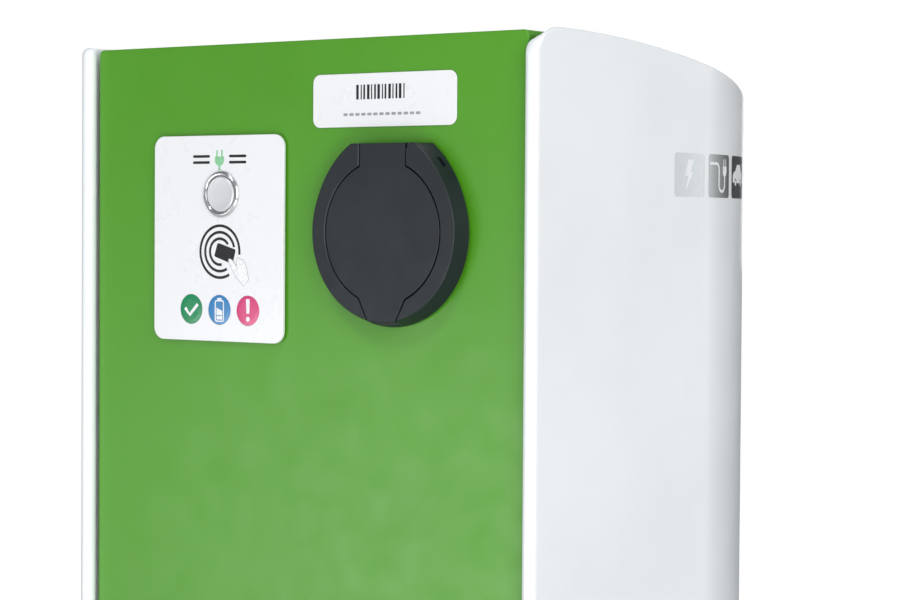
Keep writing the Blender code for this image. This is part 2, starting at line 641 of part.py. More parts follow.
def make_lock():
    """A quarter-turn lock: a fixed barrel, and a key core that carries the cam."""
    centre = (LOCK_X, LOCK_Z)
    front, seat, end = PANEL_Y - 3.2 * MM, PANEL_Y - GAP, PANEL_Y + 25 * MM
    bore = LOCK_CORE + GAP
    profile = [(bore, front), (LOCK_FLANGE - 1 * MM, front), (LOCK_FLANGE, front + 1 * MM),
               (LOCK_FLANGE, seat), (LOCK_BARREL, seat), (LOCK_BARREL, end), (bore, end)]
    add("lock_barrel", turned(profile, "Y", centre), "brushed_steel")
    cam_front, cam_back, stop = PANEL_Y + 29 * MM, PANEL_Y + 32 * MM, PANEL_Y + 34 * MM
    core_profile = [(0, front + GAP), (LOCK_CORE, front + GAP), (LOCK_CORE, stop), (0, stop)]
    core = add("lock_core", turned(core_profile, "Y", centre), "brushed_steel", (LOCK_X, PANEL_Y, LOCK_Z))
    cam = arc(LOCK_X, LOCK_Z, 8 * MM, 0, 180, 10)
    cam += [(LOCK_X - 6 * MM, LOCK_Z - 20 * MM), (LOCK_X + 6 * MM, LOCK_Z - 20 * MM)]
    join(core, prism(cam, "Y", cam_front, cam_back))
    slot = rounded_rectangle(LOCK_X, LOCK_Z, 1.4 * MM, 6 * MM, 0.4 * MM, 2)
    cut(core, prism(slot, "Y", front - 1 * MM, front + 3 * MM))
    plate_x = TRAY_HALF_WIDTH - TRAY_SHEET - GAP
    ear_front, ear_back, plate_back = PANEL_Y + 24 * MM, PANEL_Y + 27 * MM, PANEL_Y + 52 * MM
    outline = [(LOCK_X + 10 * MM, ear_front), (plate_x, ear_front), (plate_x, plate_back),
               (plate_x - 3 * MM, plate_back), (plate_x - 3 * MM, ear_back), (LOCK_X + 10 * MM, ear_back)]
    add("lock_keep", prism(outline, "Z", LOCK_Z - 20 * MM, LOCK_Z + 20 * MM), "steel")


def make_label():
    outline = rounded_rectangle(LABEL_X, LABEL_Z, *LABEL_SIZE, 4.6 * MM)
    plate = prism(outline, "Y", PANEL_Y - 0.8 * MM, PANEL_Y - GAP)
    return add("identification_label", plate, "white_plastic")


# ---------------------------------------------------------------- reader panel

def make_reader():
    outline = rounded_rectangle(READER_X, READER_Z, *READER_SIZE, READER_CORNER, 6)
    front, back = READER_FRONT_Y, READER_BACK_Y
    panel = add("reader_panel", prism(outline, "Y", front, back), "white_plastic")
    through = (front - 1 * MM, back + 1 * MM)
    holes = [rod(LENS_RADIUS + GAP, "Y", (x, LENS_Z), *through) for x in LENS_POSITIONS.values()]
    holes.append(rod(BARREL_RADIUS + GAP, "Y", (BUTTON_X, BUTTON_Z), *through))
    cut(panel, *holes)
    for name, x in LENS_POSITIONS.items():
        finish = {"ready": "lens_green", "charging": "lens_blue", "fault": "lens_pink"}[name]
        profile = [(0, front), (LENS_RADIUS, front), (LENS_RADIUS, back), (0, back)]
        add(f"status_lens_{name}", turned(profile, "Y", (x, LENS_Z)), finish)

    inset = 3 * MM
    size = (READER_SIZE[0] - inset, READER_SIZE[1] - inset)
    pad = rounded_rectangle(READER_X, READER_Z, *size, READER_CORNER - inset / 2, 5)
    gasket = add("reader_gasket", prism(pad, "Y", PANEL_Y - 0.9 * MM, PANEL_Y - GAP), "rubber")
    window = rounded_rectangle(READER_X, READER_Z, *WINDOW_SIZE, 3 * MM, 3)
    cut(gasket, prism(window, "Y", PANEL_Y - 5 * MM, PANEL_Y + 5 * MM))

    width, height = (size - 1 * MM for size in WINDOW_SIZE)
    box_front, box_back, wall = PANEL_Y - 0.9 * MM, PANEL_Y + 30 * MM, 2.5 * MM
    outer = rounded_rectangle(READER_X, READER_Z, width, height, 2.5 * MM, 3)
    box = add("reader_housing", prism(outer, "Y", box_front, box_back), "black_plastic")
    inner = rounded_rectangle(READER_X, READER_Z, width - 2 * wall, height - 2 * wall, 1 * MM, 2)
    cut(box, prism(inner, "Y", box_front - 1 * MM, box_back - wall))
    clear = wall + 1 * MM
    board_y = PANEL_Y + 8 * MM
    sheet = rounded_rectangle(READER_X, READER_Z, width - 2 * clear, height - 2 * clear, 1 * MM, 2)
    board = add("reader_board", prism(sheet, "Y", board_y, board_y + 1.6 * MM), "board")
    cut(board, rod(BARREL_RADIUS + 1 * MM, "Y", (BUTTON_X, BUTTON_Z), board_y - 1 * MM, board_y + 3 * MM))


def make_button():
    centre = (BUTTON_X, BUTTON_Z)
    face, seat = READER_FRONT_Y - 1.8 * MM, READER_FRONT_Y - GAP
    bore, stem, chamfer = CAP_RADIUS + GAP, 4 * MM, 0.8 * MM
    floor, end = PANEL_Y + 1 * MM, PANEL_Y + 20 * MM
    profile = [(bore, face), (BEZEL_RADIUS - chamfer, face), (BEZEL_RADIUS, face + chamfer),
               (BEZEL_RADIUS, seat), (BARREL_RADIUS, seat), (BARREL_RADIUS, end), (stem + GAP, end),
               (stem + GAP, floor), (bore, floor)]
    add("button_bezel", turned(profile, "Y", centre), "brushed_steel")
    top, skirt, stem_end = face + 0.2 * MM, floor - 1.4 * MM, end - 2 * MM
    cap = [(0, top), (CAP_RADIUS - 0.6 * MM, top), (CAP_RADIUS, top + 0.6 * MM), (CAP_RADIUS, skirt),
           (stem, skirt), (stem, stem_end), (0, stem_end)]
    add("button_cap", turned(cap, "Y", centre), "brushed_steel", (BUTTON_X, face, BUTTON_Z))
    nut_front = READER_BACK_Y + GAP
    nut = add("button_nut", rod(15 * MM, "Y", centre, nut_front, nut_front + 4 * MM, 6), "steel")
    cut(nut, rod(BARREL_RADIUS + GAP, "Y", centre, nut_front - 1 * MM, nut_front + 6 * MM))


# ---------------------------------------------------------------- vehicle socket

def housing_outline(radius, steps=FINE):
    """A circle with a level top and two low shoulders where the top meets the round."""
    scale = radius / HOUSING_FRONT_RADIUS
    shoulder = HOUSING_SHOULDER_X * scale
    distance = math.hypot(shoulder, HOUSING_FLAT_Z)
    reach = math.degrees(math.acos(min(1, radius / distance)))
    start = math.degrees(math.atan2(HOUSING_FLAT_Z, shoulder)) - reach
    points = [(-shoulder, HOUSING_FLAT_Z)] + arc(0, 0, radius, 180 - start, 360 + start, steps)
    points.append((shoulder, HOUSING_FLAT_Z))
    return [(SOCKET_X + x, SOCKET_Z + z) for x, z in points]


def lid_outline(radius, gap=0.0, top=HOUSING_FLAT_Z, tip=HOUSING_FRONT_RADIUS):
    """The lid: a disc with a hinge tab up to the flat top and a tapered finger tongue below."""
    radius, half = radius + gap, TAB_HALF_WIDTH + gap
    upper = math.degrees(math.asin(math.sqrt(radius ** 2 - half ** 2) / radius))
    side = TONGUE_TOP_HALF + gap
    lower = math.degrees(math.asin(math.sqrt(radius ** 2 - side ** 2) / radius))
    right = arc(0, 0, radius, upper, -lower, 22)
    end = TONGUE_TIP_HALF + gap
    right = [(half, top)] + right + [(end, -tip)]
    left = [(-x, z) for x, z in reversed(right)]
    return [(SOCKET_X + x, SOCKET_Z + z) for x, z in right + left]


def make_socket_housing():
    layers = [(housing_outline(HOUSING_FRONT_RADIUS), HOUSING_FRONT_Y),
              (housing_outline(HOUSING_BACK_RADIUS), HOUSING_BACK_Y)]
    housing = add("socket_housing", loft(layers, "Y"), "black_plastic")
    reach = HOUSING_FRONT_RADIUS + 10 * MM
    pocket = lid_outline(LID_RADIUS, LID_GAP, reach, reach)
    tab_half, pin_half = TAB_HALF_WIDTH + GAP, TAB_HALF_WIDTH + 4.6 * MM
    tab_sides = (SOCKET_X - tab_half, SOCKET_X + tab_half)
    before, axis = HOUSING_FRONT_Y - 5 * MM, (LID_AXIS_Y, LID_AXIS_Z)
    return cut(housing,
               prism(pocket, "Y", before, LID_POCKET_Y),
               rod(HOUSING_BORE, "Y", (SOCKET_X, SOCKET_Z), before, PANEL_Y + 5 * MM, FINE),
               block(*tab_sides, before, PANEL_Y - 3 * MM, SOCKET_Z + 30 * MM, SOCKET_Z + reach),
               rod(LID_PIN_RADIUS + GAP, "X", axis, SOCKET_X - pin_half, SOCKET_X + pin_half, 16),
               spring_pocket(), spring_notch())


def spring_pocket():
    """The recess beside the tab where the lid's spring sits on its pin."""
    x, y, z = SOCKET_X + TAB_HALF_WIDTH, LID_AXIS_Y - 2.9 * MM, LID_AXIS_Z - 3 * MM
    return block(x, x + 3.9 * MM, y, PANEL_Y - 3 * MM, z, LID_AXIS_Z + 10 * MM)


def spring_notch():
    """A small notch in the housing's face that lets the spring's end out to the tab."""
    x, y, z = SOCKET_X + TAB_HALF_WIDTH, HOUSING_FRONT_Y - 5 * MM, LID_AXIS_Z + 0.7 * MM
    return block(x, x + 2 * MM, y, LID_AXIS_Y, z, LID_AXIS_Z + 10 * MM)


def make_socket_lid():
    """The lid tapers a little towards its back, so that its edge swings clear of the housing."""
    back = HOUSING_FRONT_Y + LID_THICKNESS
    layers = [(lid_outline(LID_RADIUS), HOUSING_FRONT_Y), (lid_outline(LID_RADIUS - LID_DRAFT), back)]
    origin, axis = (SOCKET_X, LID_AXIS_Y, LID_AXIS_Z), (LID_AXIS_Y, LID_AXIS_Z)
    lid = add("socket_lid", loft(layers, "Y"), "black_plastic", origin)
    join(lid, rod(3.4 * MM, "X", axis, SOCKET_X - TAB_HALF_WIDTH, SOCKET_X + TAB_HALF_WIDTH, COARSE))
    reach = TAB_HALF_WIDTH + 5 * MM
    cut(lid, rod(LID_PIN_RADIUS + GAP, "X", axis, SOCKET_X - reach, SOCKET_X + reach, 16))
    seal_front, seal_back = back + GAP, LID_POCKET_Y - GAP
    centre = (SOCKET_X, SOCKET_Z)
    profile = [(34 * MM, seal_front), (36 * MM, seal_front), (36 * MM, seal_back), (34 * MM, seal_back)]
    add("lid_seal", turned(profile, "Y", centre, FINE), "rubber", origin)
    pin_half = TAB_HALF_WIDTH + 4 * MM
    pin = rod(LID_PIN_RADIUS, "X", axis, SOCKET_X - pin_half, SOCKET_X + pin_half, 16)
    add("lid_pin", pin, "steel", origin)


def make_lid_spring():
    """A short torsion spring wound on the pin beside the tab."""
    wire, radius, turns, per_turn = 0.3 * MM, 2.1 * MM, 3, 12
    start = SOCKET_X + TAB_HALF_WIDTH + 0.8 * MM
    curve = bpy.data.curves.new("lid_spring", "CURVE")
    curve.dimensions = "3D"
    curve.bevel_depth = wire
    curve.bevel_resolution = 1
    curve.use_fill_caps = True
    spline = curve.splines.new("POLY")
    count = turns * per_turn + 1
    spline.points.add(count - 1)
    pitch = 0.78 * MM
    for i, point in enumerate(spline.points):
        angle = 2 * math.pi * i / per_turn
        x = start + pitch * i / per_turn
        y, z = LID_AXIS_Y + radius * math.cos(angle), LID_AXIS_Z + radius * math.sin(angle)
        point.co = (x, y, z, 1)
    curve.materials.append(look("steel", *LOOKS["steel"]))
    made = bpy.data.objects.new("lid_spring", curve)
    bpy.context.scene.collection.objects.link(made)
    return made


def make_socket_insert():
    """The cup that takes the plug: round with a flat top, behind a flange on the door's back."""
    centre = (SOCKET_X, SOCKET_Z)
    front = LID_POCKET_Y + 0.4 * MM
    seat = PANEL_Y + DOOR_SHEET + GAP
    flange_back = seat + 3 * MM
    profile = [(0, front), (CUP_RADIUS, front), (CUP_RADIUS, seat), (CUP_FLANGE, seat),
               (CUP_FLANGE, flange_back), (CUP_RADIUS, flange_back), (CUP_RADIUS, CUP_BACK_Y),
               (0, CUP_BACK_Y)]
    cup = add("socket_insert", turned(profile, "Y", centre, 48), "socket_plastic")
    cavity = flat_topped_circle(*centre, CAVITY_RADIUS, CAVITY_FLAT)
    pin_way = (SOCKET_Z + 10 * MM, SOCKET_Z + 60 * MM)
    cut(cup, prism(cavity, "Y", front - 5 * MM, CUP_BACK_Y - 4 * MM),
        rod(LOCK_PIN_RADIUS + GAP, "Z", (SOCKET_X, LOCK_PIN_Y), *pin_way, 16))

    face, end = PANEL_Y + 2 * MM, CUP_BACK_Y - 4 * MM - GAP
    island = flat_topped_circle(*centre, ISLAND_RADIUS, ISLAND_FLAT, 30)
    carrier = add("contact_carrier", prism(island, "Y", face, end), "socket_plastic")
    large = [(-16 * MM, 0), (0, 0), (16 * MM, 0), (-8 * MM, -14 * MM), (8 * MM, -14 * MM)]
    small = [(-8 * MM, 12.5 * MM), (8 * MM, 12.5 * MM)]
    holes = [(x, z, 4.2 * MM) for x, z in large] + [(x, z, 2.8 * MM) for x, z in small]
    depth = (face - 1 * MM, end - 6 * MM)
    tools = [rod(radius, "Y", (SOCKET_X + x, SOCKET_Z + z), *depth, 16) for x, z, radius in holes]
    return cut(carrier, *tools)


def make_plug_lock():
    """An actuator on top of the cup, whose pin drops into the cavity to hold the plug."""
    low, high = SOCKET_Z + 34 * MM, SOCKET_Z + 60 * MM
    body = block(SOCKET_X - 16 * MM, SOCKET_X + 16 * MM, PANEL_Y + 9 * MM, PANEL_Y + 45 * MM, low, high)
    actuator = add("lock_actuator", body, "black_plastic")
    axis = (SOCKET_X, LOCK_PIN_Y)
    cut(actuator, rod(LOCK_PIN_RADIUS + GAP, "Z", axis, low - 1 * MM, low + 16 * MM, 16))
    tip = SOCKET_Z + 26 * MM
    profile = [(0, tip), (LOCK_PIN_RADIUS - 0.8 * MM, tip), (LOCK_PIN_RADIUS, tip + 0.8 * MM),
               (LOCK_PIN_RADIUS, low + 10 * MM), (0, low + 10 * MM)]
    add("locking_pin", turned(profile, "Z", axis, COARSE), "steel", (SOCKET_X, LOCK_PIN_Y, tip))


# ---------------------------------------------------------------- looms

def smooth_path(points, per_span):
    """Points along a smooth curve through the given ones."""
    ends = [2 * points[0] - points[1]] + points + [2 * points[-1] - points[-2]]
    path = []
    for a, b, c, d in zip(ends, ends[1:], ends[2:], ends[3:]):
        for i in range(per_span):
            t = i / per_span
            path.append(0.5 * (2 * b + (c - a) * t + (2 * a - 5 * b + 4 * c - d) * t ** 2
                               + (3 * b - a - 3 * c + d) * t ** 3))
    return path + [points[-1]]


def make_loom(name, places, radius=4.5 * MM):
    """A round sheathed cable along a smooth curve through places given from the panel's face."""
    points = [Vector((x, PANEL_Y + y, z)) for x, y, z in places]
    curve = bpy.data.curves.new(name, "CURVE")
    curve.dimensions = "3D"
    curve.bevel_depth = radius
    curve.bevel_resolution = 2
    curve.use_fill_caps = True
    path = smooth_path(points, 4)
    spline = curve.splines.new("POLY")
    spline.points.add(len(path) - 1)
    for point, place in zip(spline.points, path):
        point.co = (*place, 1)
    curve.materials.append(look("cable", *LOOKS["cable"]))
    made = bpy.data.objects.new(name, curve)
    bpy.context.scene.collection.objects.link(made)
    return made


def make_looms():
    """The socket's cable, in two lengths that meet end to end on the door's hinge axis.

    The upper length turns with the door and the lower one stays in the post, so the cable
    twists along the hinge axis and doesn't bend.
    """
    joint_z = 960 * MM
    hinge_y = HINGE_Y - PANEL_Y
    back = CUP_BACK_Y - PANEL_Y + GAP
    upper = [(SOCKET_X, back, SOCKET_Z), (SOCKET_X, back + 5 * MM, SOCKET_Z),
             (SOCKET_X, back + 10 * MM, SOCKET_Z), (63 * MM, back + 17 * MM, SOCKET_Z - 14 * MM),
             (45 * MM, back + 6 * MM, 1125 * MM),
             (0, 28 * MM, 1108 * MM), (-60 * MM, 18 * MM, 1104 * MM), (-110 * MM, 11 * MM, 1100 * MM),
             (-134 * MM, hinge_y + 1 * MM, 1082 * MM), (HINGE_X, hinge_y, 1050 * MM),
             (HINGE_X, hinge_y, 1010 * MM), (HINGE_X, hinge_y, joint_z + GAP)]
    make_loom("socket_loom", upper)
    lower = [(HINGE_X, hinge_y, joint_z), (HINGE_X, hinge_y, 920 * MM), (HINGE_X, hinge_y, 885 * MM),
             (-137 * MM, 12 * MM, 862 * MM), (-124 * MM, 20 * MM, 850 * MM), (-116 * MM, 36 * MM, 850 * MM),
             (-114 * MM, 70 * MM, 858 * MM), (-104 * MM, 90 * MM, 868 * MM), (-60 * MM, 100 * MM, 876 * MM),
             (10 * MM, 104 * MM, 878 * MM), (60 * MM, 112 * MM, 884 * MM), (76 * MM, 120 * MM, 905 * MM),
             (78 * MM, 124 * MM, 939.5 * MM)]
    make_loom("cabinet_loom", lower)


def main():
    clear_scene()
    make_body_shell()
    make_roof_cap()
    make_base_plate()
    make_anchor_bolts()
    make_upright("upright_left", -1)
    make_upright("upright_right", 1)
    make_rail("foot_rail", BASE_THICKNESS + GAP)
    make_rail("head_rail", UPRIGHT_TOP + 2 * MM - RAIL_HEIGHT)
    make_door_seal()
    make_mounting_tray()
    make_din_rails()
    make_switchgear()
    make_terminal_block()
    make_controller()
    make_earth_bar()
    make_gland()
    make_hinges()
    make_front_panel()
    make_lock()
    make_label()
    make_reader()
    make_button()
    make_socket_housing()
    make_socket_lid()
    make_lid_spring()
    make_socket_insert()
    make_plug_lock()
    make_looms()


main()
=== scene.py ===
"""The looks of the charging post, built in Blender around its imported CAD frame.

Metres, +Z up, front towards -Y.  Outlines are lists of 2D points across one axis; a piece is
made from them, given a material and a slot, and rides the CAD body that its parts belong to.
"""

import json
import math

import bmesh
import bpy
from mathutils import Matrix, Vector


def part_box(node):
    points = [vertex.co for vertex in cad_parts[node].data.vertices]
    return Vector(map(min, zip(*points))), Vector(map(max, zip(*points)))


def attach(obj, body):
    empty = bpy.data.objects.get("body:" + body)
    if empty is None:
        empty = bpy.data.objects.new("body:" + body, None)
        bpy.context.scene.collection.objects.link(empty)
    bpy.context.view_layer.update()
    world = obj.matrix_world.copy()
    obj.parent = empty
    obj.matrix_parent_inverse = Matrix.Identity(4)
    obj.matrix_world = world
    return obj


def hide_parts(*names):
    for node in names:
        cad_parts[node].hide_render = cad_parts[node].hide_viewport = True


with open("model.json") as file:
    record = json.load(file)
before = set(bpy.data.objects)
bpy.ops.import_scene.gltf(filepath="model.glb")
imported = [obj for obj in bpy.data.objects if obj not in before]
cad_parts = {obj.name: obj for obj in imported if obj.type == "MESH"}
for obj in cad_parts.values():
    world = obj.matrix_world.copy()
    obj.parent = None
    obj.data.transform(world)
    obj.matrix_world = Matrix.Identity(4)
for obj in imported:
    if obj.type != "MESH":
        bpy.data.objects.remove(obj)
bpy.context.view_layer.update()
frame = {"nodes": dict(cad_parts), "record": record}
MM = 0.001
SKIN = 0.12 * MM      # sheet is drawn this much inside its CAD face, so that foils on it fit the box
FINE, MEDIUM, SMALL = 160, 96, 40

# ---------------------------------------------------------------- places, all from the frame

SHELL_LOW, SHELL_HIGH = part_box("body_shell")
DOOR_LOW, DOOR_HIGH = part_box("front_panel")
READER_LOW, READER_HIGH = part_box("reader_panel")
LABEL_LOW, LABEL_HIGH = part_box("identification_label")
BEZEL_LOW, BEZEL_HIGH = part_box("button_bezel")
CAP_LOW, CAP_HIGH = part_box("button_cap")
LOCK_LOW, LOCK_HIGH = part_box("lock_barrel")
CORE_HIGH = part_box("lock_core")[1]
HOUSING_LOW, HOUSING_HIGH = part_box("socket_housing")
ROOF_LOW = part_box("roof_cap")[0]
JOINTS = {joint["name"]: joint for joint in frame["record"]["behaviour"]["joints"]}
LID_AXIS = Vector(JOINTS["lid_hinge"]["pos_m"])

LID_AXIS_RISE = 43.1 * MM      # from the socket's centre up to the lid's hinge axis
PANEL_Y = DOOR_LOW.y
TOP_Z = SHELL_HIGH.z
SOCKET_X = LID_AXIS.x
SOCKET_Z = LID_AXIS.z - LID_AXIS_RISE
HOUSING_FRONT = HOUSING_LOW.y


def middle(low, high):
    return (low + high) / 2


def centre_of(low, high):
    """The x and z of a box's middle, as seen from the front."""
    return middle(low.x, high.x), middle(low.z, high.z)


BUTTON_CENTRE = centre_of(BEZEL_LOW, BEZEL_HIGH)
LOCK_CENTRE = centre_of(LOCK_LOW, LOCK_HIGH)
READER_CENTRE = centre_of(READER_LOW, READER_HIGH)
READER_WINDOW = (76 * MM, 102 * MM, 3 * MM)      # width, height and corner radius of its hole
PANEL_HOLE = 37 * MM
LOCK_HOLE = 8.3 * MM
LOOM_NOTCH = (815 * MM, 885 * MM)


# ---------------------------------------------------------------- outlines

def arc(cx, cy, radius, start, end, steps):
    """Points on a circle from start to end, in degrees, both ends included."""
    angles = [math.radians(start + (end - start) * i / steps) for i in range(steps + 1)]
    return [(cx + radius * math.cos(a), cy + radius * math.sin(a)) for a in angles]


def on_circle(cx, cy, radius, degrees):
    angle = math.radians(degrees)
    return cx + radius * math.cos(angle), cy + radius * math.sin(angle)


def circle(cx, cy, radius, steps=MEDIUM):
    return arc(cx, cy, radius, 0, 360 - 360 / steps, steps - 1)


def rounded_rectangle(cx, cy, width, height, radius, steps=8):
    radius = max(radius, 0.02 * MM)
    x, y = width / 2 - radius, height / 2 - radius
    points = []
    for dx, dy, start in ((x, y, 0), (-x, y, 90), (-x, -y, 180), (x, -y, 270)):
        points += arc(cx + dx, cy + dy, radius, start, start + 90, steps)
    return points


def shrinking_rectangle(cx, cy, width, height, radius, steps=8):
    """A rounded rectangle as a function of how far it is inset."""
    def shape(inset):
        return rounded_rectangle(cx, cy, width - 2 * inset, height - 2 * inset, radius - inset, steps)
    return shape


def lift(point, axis, height):
    a, b = point
    if axis == "X":
        return Vector((height, a, b))
    if axis == "Y":
        return Vector((a, height, b))
    return Vector((a, b, height))


# ---------------------------------------------------------------- solids

def loft(layers, axis):
    """A closed solid through (outline, height) pairs with equal numbers of points."""
    mesh = bmesh.new()
    loops = [[mesh.verts.new(lift(p, axis, height)) for p in outline] for outline, height in layers]
    count = len(loops[0])
    for lower, upper in zip(loops, loops[1:]):
        for i in range(count):
            j = (i + 1) % count
            mesh.faces.new((lower[i], lower[j], upper[j], upper[i]))
    mesh.faces.new(loops[0][::-1])
    mesh.faces.new(loops[-1])
    bmesh.ops.recalc_face_normals(mesh, faces=mesh.faces)
    return mesh


def prism(outline, axis, low, high):
    return loft([(outline, low), (outline, high)], axis)


def block(x_low, x_high, y_low, y_high, z_low, z_high):
    outline = [(x_low, y_low), (x_high, y_low), (x_high, y_high), (x_low, y_high)]
    return prism(outline, "Z", z_low, z_high)


def soft_prism(shape, axis, low, high, front_edge, back_edge=0.0, steps=4):
    """A prism with rounded rims; shape(inset) gives its outline inset by a distance."""
    layers = []
    if front_edge:
        for i in range(steps + 1):
            a = math.radians(90 * i / steps)
            layers.append((shape(front_edge * (1 - math.sin(a))), low + front_edge * (1 - math.cos(a))))
    else:
        layers.append((shape(0), low))
    if back_edge:
        for i in range(steps + 1):
            a = math.radians(90 * i / steps)
            layers.append((shape(back_edge * (1 - math.cos(a))), high - back_edge * (1 - math.sin(a))))
    else:
        layers.append((shape(0), high))
    return loft(layers, axis)


def turned(profile, axis, centre, steps=MEDIUM):
    """A solid of revolution; a profile that doesn't start and end on the axis closes as a ring."""
    mesh = bmesh.new()
    rings = []
    for radius, height in profile:
        if radius == 0:
            rings.append([mesh.verts.new(lift(centre, axis, height))])
        else:
            rings.append([mesh.verts.new(lift(p, axis, height)) for p in circle(*centre, radius, steps)])
    pairs = list(zip(rings, rings[1:]))
    if len(rings[0]) > 1:
        pairs.append((rings[-1], rings[0]))
    for first, second in pairs:
        for i in range(steps):
            j = (i + 1) % steps
            corners = [first[i % len(first)], first[j % len(first)]]
            corners += [second[j % len(second)], second[i % len(second)]]
            mesh.faces.new(list(dict.fromkeys(corners)))
    bmesh.ops.recalc_face_normals(mesh, faces=mesh.faces)
    return mesh


def rounded_corner(before, corner, after, radius, steps=4):
    """A corner of a profile replaced by a short curve that is tangent to both of its sides."""
    corner, before, after = Vector(corner), Vector(before), Vector(after)
    start = corner + (before - corner).normalized() * radius
    end = corner + (after - corner).normalized() * radius
    points = []
    for i in range(steps + 1):
        t = i / steps
        points.append(tuple((1 - t) ** 2 * start + 2 * t * (1 - t) * corner + t ** 2 * end))
    return points


def softened(profile, radius, steps=3):
    """A turned profile with every corner that is off the axis rounded."""
    closed = profile[0][0] > 0
    points = []
    for i, point in enumerate(profile):
        if not closed and i in (0, len(profile) - 1):
            points.append(point)
        else:
            after = profile[(i + 1) % len(profile)]
            points += rounded_corner(profile[i - 1], point, after, radius, steps)
    return points


def rod(radius, axis, centre, low, high, steps=SMALL):
    return prism(circle(*centre, radius, steps), axis, low, high)


# ---------------------------------------------------------------- shader helpers

class Shader:
    """A Principled material and short ways to wire the nodes that feed it."""

    def __init__(self, name, roughness, metallic=0.0, **sockets):
        self.material = bpy.data.materials.new(name)
        self.material.use_nodes = True
        self.tree = self.material.node_tree
        self.body = self.tree.nodes["Principled BSDF"]
        self.body.inputs["Roughness"].default_value = roughness
        self.body.inputs["Metallic"].default_value = metallic
        for key, value in sockets.items():
            self.body.inputs[key.replace("_", " ")].default_value = value
        self.place = self.add("ShaderNodeTexCoord").outputs["Object"]

    def add(self, kind, **settings):
        made = self.tree.nodes.new(kind)
        for key, value in settings.items():
            setattr(made, key, value)
        return made

    def wire(self, source, target):
        self.tree.links.new(source, target)

    def stretched(self, scale):
        """Object coordinates scaled by a different amount along each axis."""
        mapping = self.add("ShaderNodeMapping")
        mapping.inputs["Scale"].default_value = scale
        self.wire(self.place, mapping.inputs["Vector"])
        return mapping.outputs["Vector"]

    def noise(self, scale, detail=3.0, rough=0.5, place=None):
        made = self.add("ShaderNodeTexNoise")
        made.inputs["Scale"].default_value = scale
        made.inputs["Detail"].default_value = detail
        made.inputs["Roughness"].default_value = rough
        self.wire(place or self.place, made.inputs["Vector"])
        return made.outputs["Fac"]

    def cells(self, scale, output="Distance", place=None):
        made = self.add("ShaderNodeTexVoronoi")
        made.inputs["Scale"].default_value = scale
        self.wire(place or self.place, made.inputs["Vector"])
        return made.outputs[output]

    def remap(self, value, low, high, to_low=0.0, to_high=1.0):
        made = self.add("ShaderNodeMapRange")
        for key, number in (("From Min", low), ("From Max", high), ("To Min", to_low), ("To Max", to_high)):
            made.inputs[key].default_value = number
        self.wire(value, made.inputs["Value"])
        return made.outputs["Result"]

    def blend(self, factor, first, second):
        """A colour between two, each an RGB tuple or a socket."""
        made = self.add("ShaderNodeMix", data_type="RGBA")
        self.wire(factor, made.inputs["Factor"])
        for source, slot in ((first, "A"), (second, "B")):
            target = [s for s in made.inputs if s.name == slot and s.type == "RGBA"][0]
            if isinstance(source, tuple):
                target.default_value = (*source, 1.0)
            else:
                self.wire(source, target)
        return [s for s in made.outputs if s.type == "RGBA"][0]

    def times(self, first, second):
        made = self.add("ShaderNodeMath", operation="MULTIPLY")
        self.wire(first, made.inputs[0])
        if isinstance(second, float):
            made.inputs[1].default_value = second
        else:
            self.wire(second, made.inputs[1])
        return made.outputs[0]

    def edges(self, radius, low=0.02, high=0.25):
        """0 on flats and 1 on edges, from how far the rounded normal leans from the true one."""
        rounded = self.add("ShaderNodeBevel", samples=4)
        rounded.inputs["Radius"].default_value = radius
        true = self.add("ShaderNodeNewGeometry")
        dot = self.add("ShaderNodeVectorMath", operation="DOT_PRODUCT")
        self.wire(rounded.outputs["Normal"], dot.inputs[0])
        self.wire(true.outputs["Normal"], dot.inputs[1])
        lean = self.add("ShaderNodeMath", operation="SUBTRACT")
        lean.inputs[0].default_value = 1.0
        self.wire(dot.outputs["Value"], lean.inputs[1])
        return self.remap(lean.outputs[0], low, high)

    def bump(self, height, distance, strength=1.0):
        made = self.add("ShaderNodeBump")
        made.inputs["Strength"].default_value = strength
        made.inputs["Distance"].default_value = distance
        self.wire(height, made.inputs["Height"])
        self.wire(made.outputs["Normal"], self.body.inputs["Normal"])

    def colour(self, socket):
        self.wire(socket, self.body.inputs["Base Color"])

    def rough(self, socket):
        self.wire(socket, self.body.inputs["Roughness"])

    def patchy_gloss(self, scale, detail, low, high):
        """Roughness that drifts between two values."""
        self.rough(self.remap(self.noise(scale, detail), 0.3, 0.7, low, high))


def shade(colour, factor):
    return tuple(min(1.0, channel * factor) for channel in colour)


# ---------------------------------------------------------------- materials

def powder_coat(name, colour, roughness, coat):
    """Baked powder coat: orange peel, faint mottling, fine dust and slightly worn edges."""
    s = Shader(name, roughness, Coat_Weight=coat, Coat_Roughness=0.16)
    mottle = s.remap(s.noise(9.0, 4.0), 0.35, 0.65)
    base = s.blend(mottle, shade(colour, 0.965), shade(colour, 1.02))
    specks = s.remap(s.cells(900.0), 0.0, 0.09, 0.35, 0.0)
    dusty = s.blend(s.times(specks, s.remap(s.noise(30.0), 0.5, 0.8)), base, (0.42, 0.42, 0.4))
    worn = s.times(s.edges(0.7 * MM), s.remap(s.noise(140.0), 0.45, 0.75, 0.0, 0.5))
    s.colour(s.blend(worn, dusty, shade(colour, 1.25)))
    s.patchy_gloss(45.0, 5.0, roughness - 0.05, roughness + 0.07)
    s.bump(s.noise(420.0, 2.0), 0.03 * MM, 0.5)
    return s.material


